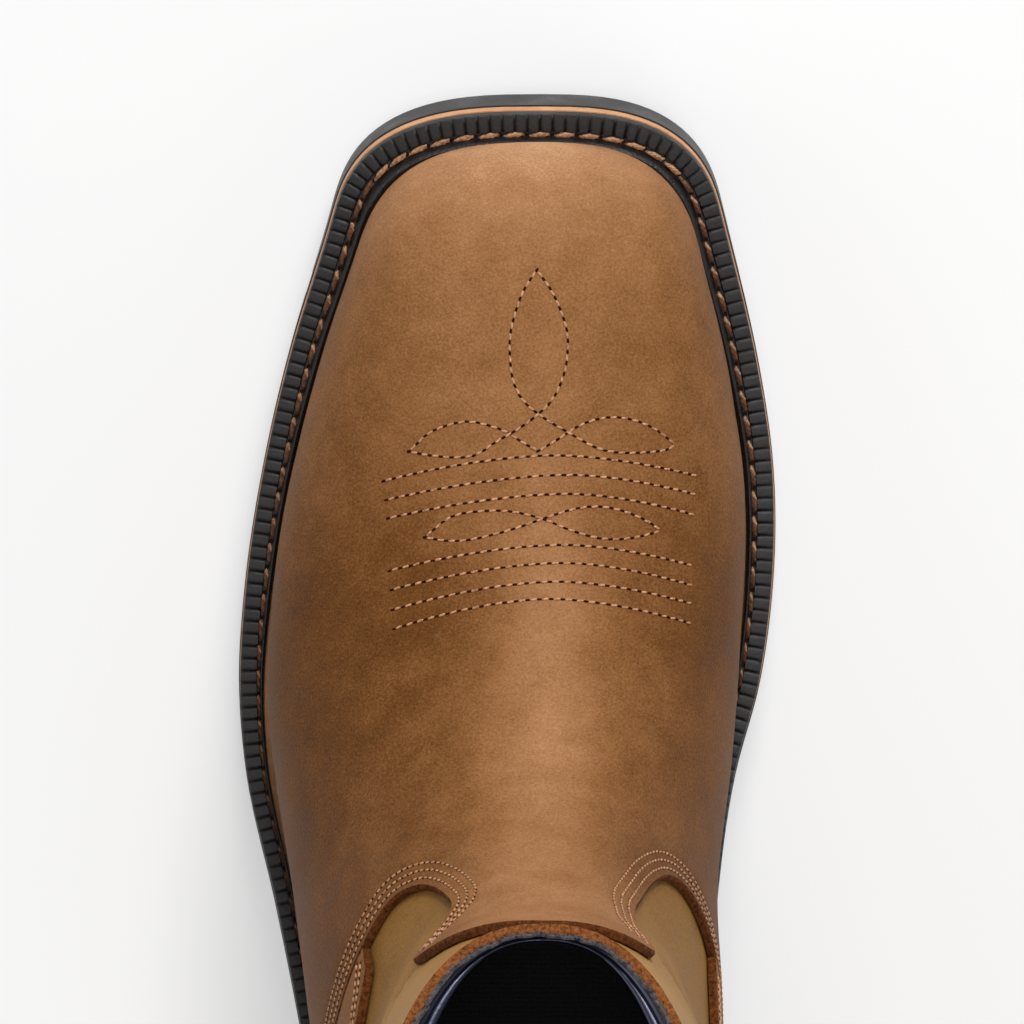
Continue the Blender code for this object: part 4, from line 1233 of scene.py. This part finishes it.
def vamp_tone_with_painted_light(row, turn):
    """Painted shade on the leather's sides, painted highlights on the toe's front, the instep and next to the
    welt.
    """
    over_instep = np.clip((row - INSTEP_START[0]) / INSTEP_START[1], 0.0, 1.0)
    side_shade = np.where(turn > 0, *PAINTED_SIDE_SHADES)
    toe = TOE_TONE - side_shade * np.abs(turn) ** SIDE_POWER + PAINTED_TIP_HIGHLIGHT * np.exp(-(row / TIP_ROWS) ** 2)
    instep = sum(tone * np.exp(-(turn / width) ** 2) for tone, width in PAINTED_INSTEP_HIGHLIGHTS) - PAINTED_INSTEP_SHADE
    foot = PAINTED_FOOT_HIGHLIGHT * np.clip((np.abs(turn) - FOOT_TURNS[0]) / FOOT_TURNS[1], 0.0, 1.0) ** FOOT_POWER
    foot *= np.clip((FOOT_ROWS[0] - row) / FOOT_ROWS[1], 0.0, 1.0)
    return toe * (1 - over_instep) + instep * over_instep + foot


def paint_rim(overlay, top, layers):
    """Give the raw edge's material to an overlay's rim, wall and underside."""
    for face in overlay.faces:
        on_rim = max(vert[layers[2]] for vert in face.verts) > 0.01
        face.material_index = 1 if on_rim or face not in top else 0


vamp_mesh = flat_pattern(vamp_edge, vamp_foot, RIM, rows_a_section=20, turns_a_side=90)
vamp_top, vamp_layers = drape(vamp_mesh, GAP, OVERLAY_STEP, RIM_DROP, vamp_relief)
set_tone(vamp_mesh, vamp_layers, vamp_tone_with_painted_light)
vamp_tree = BVHTree.FromBMesh(vamp_mesh)
paint_rim(vamp_mesh, vamp_top, vamp_layers)
add_piece("vamp_overlay", vamp_mesh, [VAMP_BROWN, RAW_EDGE], "vamp")

# Vamp stitches: pinkish tan thread in three rows along the cut edge, which hold the vamp to the upper,
# and the traditional toe stitching in single lines, which only gathers the leather.
# Length and width of a stitch on the edge and on the toe, in millimetres; drops start at a height in metres
EDGE_STITCH = (1.1, 0.5)
TOE_STITCH = (1.6, 0.55)
FINE_STEP = 1.0
DROP_FROM = 0.3
SEAM_THREAD = thread_finish("tan_seam_thread", (120, 74, 46), (214, 160, 118))


def boot_points(spots):
    """World points in metres, as points of the boot in millimetres."""
    return np.array(spots) / MM + (MID_ACROSS, MID_ALONG, 0.0)


vamp_thread_mesh = bmesh.new()
for line in edge_lines:
    sew(vamp_thread_mesh, vamp_tree, line, EDGE_PITCH, EDGE_STITCH)
for plan in toe_plans:
    drops = [vamp_tree.ray_cast(Vector((*spot[:2], DROP_FROM)), Vector((0, 0, -1)))[0]
             for spot in place(np.pad(even_steps(plan, FINE_STEP), ((0, 0), (0, 1))))]
    sew(vamp_thread_mesh, vamp_tree, boot_points(drops), TOE_PITCH, TOE_STITCH)
add_piece("vamp_stitches", vamp_thread_mesh, [SEAM_THREAD, NEEDLE_HOLE_SHADE])

# Counter: a leather overlay round the heel, sewn to the upper along its raw top edge. Its front
# edges meet the wings of the vamp.
# Close points near row 10 carry each edge evenly over the bend that the sections have there
COUNTER_EDGE_LATERAL = (
    (7.8, 0.318),
    (8.05, 0.314),
    (8.4, 0.335),
    (8.81, 0.37),
    (9.3, 0.41),
    (9.9, 0.438),
    (10.01, 0.434),
    (10.08, 0.445),
    (10.21, 0.468),
    (10.37, 0.5),
    (10.68, 0.57),
    (11.0, 0.64),
    (11.3, 0.71),
    (11.57, 0.78),
    (11.83, 0.85),
    (12.04, 0.92),
    (12.15, 1.0),
)
COUNTER_EDGE_MEDIAL = (
    (7.15, 0.492),
    (8.0, 0.475),
    (8.6, 0.485),
    (9.1, 0.5),
    (9.7, 0.508),
    (9.9, 0.508),
    (10.0, 0.501),
    (10.08, 0.506),
    (10.27, 0.527),
    (10.47, 0.56),
    (10.77, 0.61),
    (11.03, 0.66),
    (11.32, 0.72),
    (11.57, 0.78),
    (11.83, 0.85),
    (12.04, 0.92),
    (12.15, 1.0),
)
COUNTER_FOOT = ((10.34, 1.0), (10.2, 0.95), (9.75, 0.925), (9.1, 0.95), (8.4, 0.98))
WING_START_LATERAL = 9
WING_START_MEDIAL = 10
COUNTER_CLEAR = 0.04
COUNTER_TONE = 0.12


def counter_half(vamp_edge_table, wing_start, edge_table, side):
    """Flat pattern of one half of the counter, from the vamp's wing to the back line."""
    wing = edge_curve(vamp_edge_table[wing_start:], 6) + (COUNTER_CLEAR, 0.0)
    edge = edge_curve(edge_table, 10)
    rest = [*COUNTER_FOOT, *wing[::-1]]
    if side < 0:
        edge, rest = edge[::-1] * (1, -1), [(row, -turn) for row, turn in reversed(rest)]
    return edge, rest


COUNTER_HALVES = ((VAMP_EDGE_LATERAL, WING_START_LATERAL, COUNTER_EDGE_LATERAL, 1),
                  (VAMP_EDGE_MEDIAL, WING_START_MEDIAL, COUNTER_EDGE_MEDIAL, -1))
counter_meshes = [flat_pattern(*counter_half(*half), RIM, rows_a_section=14, turns_a_side=64)
                  for half in COUNTER_HALVES]
medial_half = bpy.data.meshes.new("counter_medial_half")
counter_meshes[1].to_mesh(medial_half)
counter_meshes[1].free()
counter_mesh = counter_meshes[0]
counter_mesh.from_mesh(medial_half)
bpy.data.meshes.remove(medial_half)
counter_top, counter_layers = drape(counter_mesh, GAP, OVERLAY_STEP, RIM_DROP)
set_tone(counter_mesh, counter_layers, lambda row, turn: np.full(len(row), COUNTER_TONE))
paint_rim(counter_mesh, counter_top, counter_layers)
counter_tree = BVHTree.FromBMesh(counter_mesh)
add_piece("heel_counter", counter_mesh, [VAMP_BROWN, RAW_EDGE], "counter")

# Counter stitches: the same tan thread in two rows along the counter's raw top edge, which hold it to
# the upper. Each row is laid beside the edge and brought to the face from outside.
EVENING_PASSES = 40
NEEDLE_REACH = 10.0
COUNTER_ROWS = 2
counter_thread_mesh = bmesh.new()
for half in COUNTER_HALVES:
    edge = counter_half(*half)[0][EDGE_END:]
    if half[-1] > 0:
        edge = edge[:-1]
    line = even_steps(skin_offset(edge[:, 0], edge[:, 1], OVERLAY_STEP), FINE_STEP)
    for _ in range(EVENING_PASSES):
        line[1:-1] = (line[:-2] + line[1:-1] + line[2:]) / 3
    ahead = np.gradient(line, axis=0)
    outward = np.cross(ahead, (0.0, 0.0, 1.0))
    outward /= np.linalg.norm(outward, axis=1)[:, None]
    down = np.cross(ahead, outward)
    down /= np.linalg.norm(down, axis=1)[:, None]
    for distance in EDGE_ROWS[:COUNTER_ROWS]:
        starts = place(line + down * distance + outward * NEEDLE_REACH)
        hits = [counter_tree.ray_cast(Vector(spot), Vector(-way))[0] for spot, way in zip(starts, outward)]
        row_line = boot_points([hit for hit in hits if hit])
        sew(counter_thread_mesh, counter_tree, row_line, EDGE_PITCH, EDGE_STITCH)
add_piece("counter_stitches", counter_thread_mesh, [SEAM_THREAD, NEEDLE_HOLE_SHADE])

# Studio: a plain pale floor that glows softly, soft boxes from the toe, from overhead, beside and behind,
# and the camera straight over the forefoot.
FLOOR_SIZE = 6.0
FLOOR_GREY = (0.5, 0.5, 0.5, 1.0)
FLOOR_GLOW = 0.41
WORLD_LIGHT = 0.33
WHITE = (1.0, 1.0, 1.0, 1.0)
LIT_SPOT = (0.0, 0.0, 0.08)
CAMERA_HEIGHT = 2.0
CAMERA_ACROSS = 6.2
CAMERA_ALONG = 93.1
CAMERA_LENS = 313.7
CAMERA_SENSOR = 36.0

floor_mesh = bmesh.new()
bmesh.ops.create_grid(floor_mesh, x_segments=1, y_segments=1, size=FLOOR_SIZE / 2)
floor_data = bpy.data.meshes.new("floor")
floor_mesh.to_mesh(floor_data)
floor_mesh.free()
floor = bpy.data.objects.new("floor", floor_data)
floor_paper, _, _, floor_shader, _ = new_material("pale_floor", 0.9)
floor_shader.inputs["Base Color"].default_value = FLOOR_GREY
floor_shader.inputs["Emission Color"].default_value = WHITE
floor_shader.inputs["Emission Strength"].default_value = FLOOR_GLOW
floor_data.materials.append(floor_paper)
bpy.context.scene.collection.objects.link(floor)


def soft_light(name, spot, size, power):
    """Square soft box at a spot, turned to the boot."""
    light = bpy.data.lights.new(name, "AREA")
    light.shape = "SQUARE"
    light.size = size
    light.energy = power
    lamp = bpy.data.objects.new(name, light)
    lamp.location = spot
    lamp.rotation_euler = (Vector(LIT_SPOT) - Vector(spot)).to_track_quat("-Z", "Y").to_euler()
    bpy.context.scene.collection.objects.link(lamp)


soft_light("key_softbox", (-0.45, -2.0, 1.9), 1.2, 58.0)
soft_light("overhead_softbox", (0.0, 0.12, 2.1), 0.5, 7.0)
soft_light("side_softbox", (1.5, 0.2, 1.3), 1.0, 4.0)
soft_light("back_softbox", (-0.9, 1.3, 1.3), 1.0, 5.0)

world = bpy.data.worlds.new("studio")
world.use_nodes = True
world.node_tree.nodes["Background"].inputs["Color"].default_value = WHITE
world.node_tree.nodes["Background"].inputs["Strength"].default_value = WORLD_LIGHT
bpy.context.scene.world = world
bpy.context.scene.view_settings.view_transform = "Standard"

camera_data = bpy.data.cameras.new("camera")
camera_data.lens = CAMERA_LENS
camera_data.sensor_width = CAMERA_SENSOR
camera = bpy.data.objects.new("camera", camera_data)
camera.location = ((CAMERA_ACROSS - MID_ACROSS) * MM, (CAMERA_ALONG - MID_ALONG) * MM, CAMERA_HEIGHT)
camera.rotation_euler = (0.0, 0.0, math.pi)
bpy.context.scene.collection.objects.link(camera)
bpy.context.scene.camera = camera
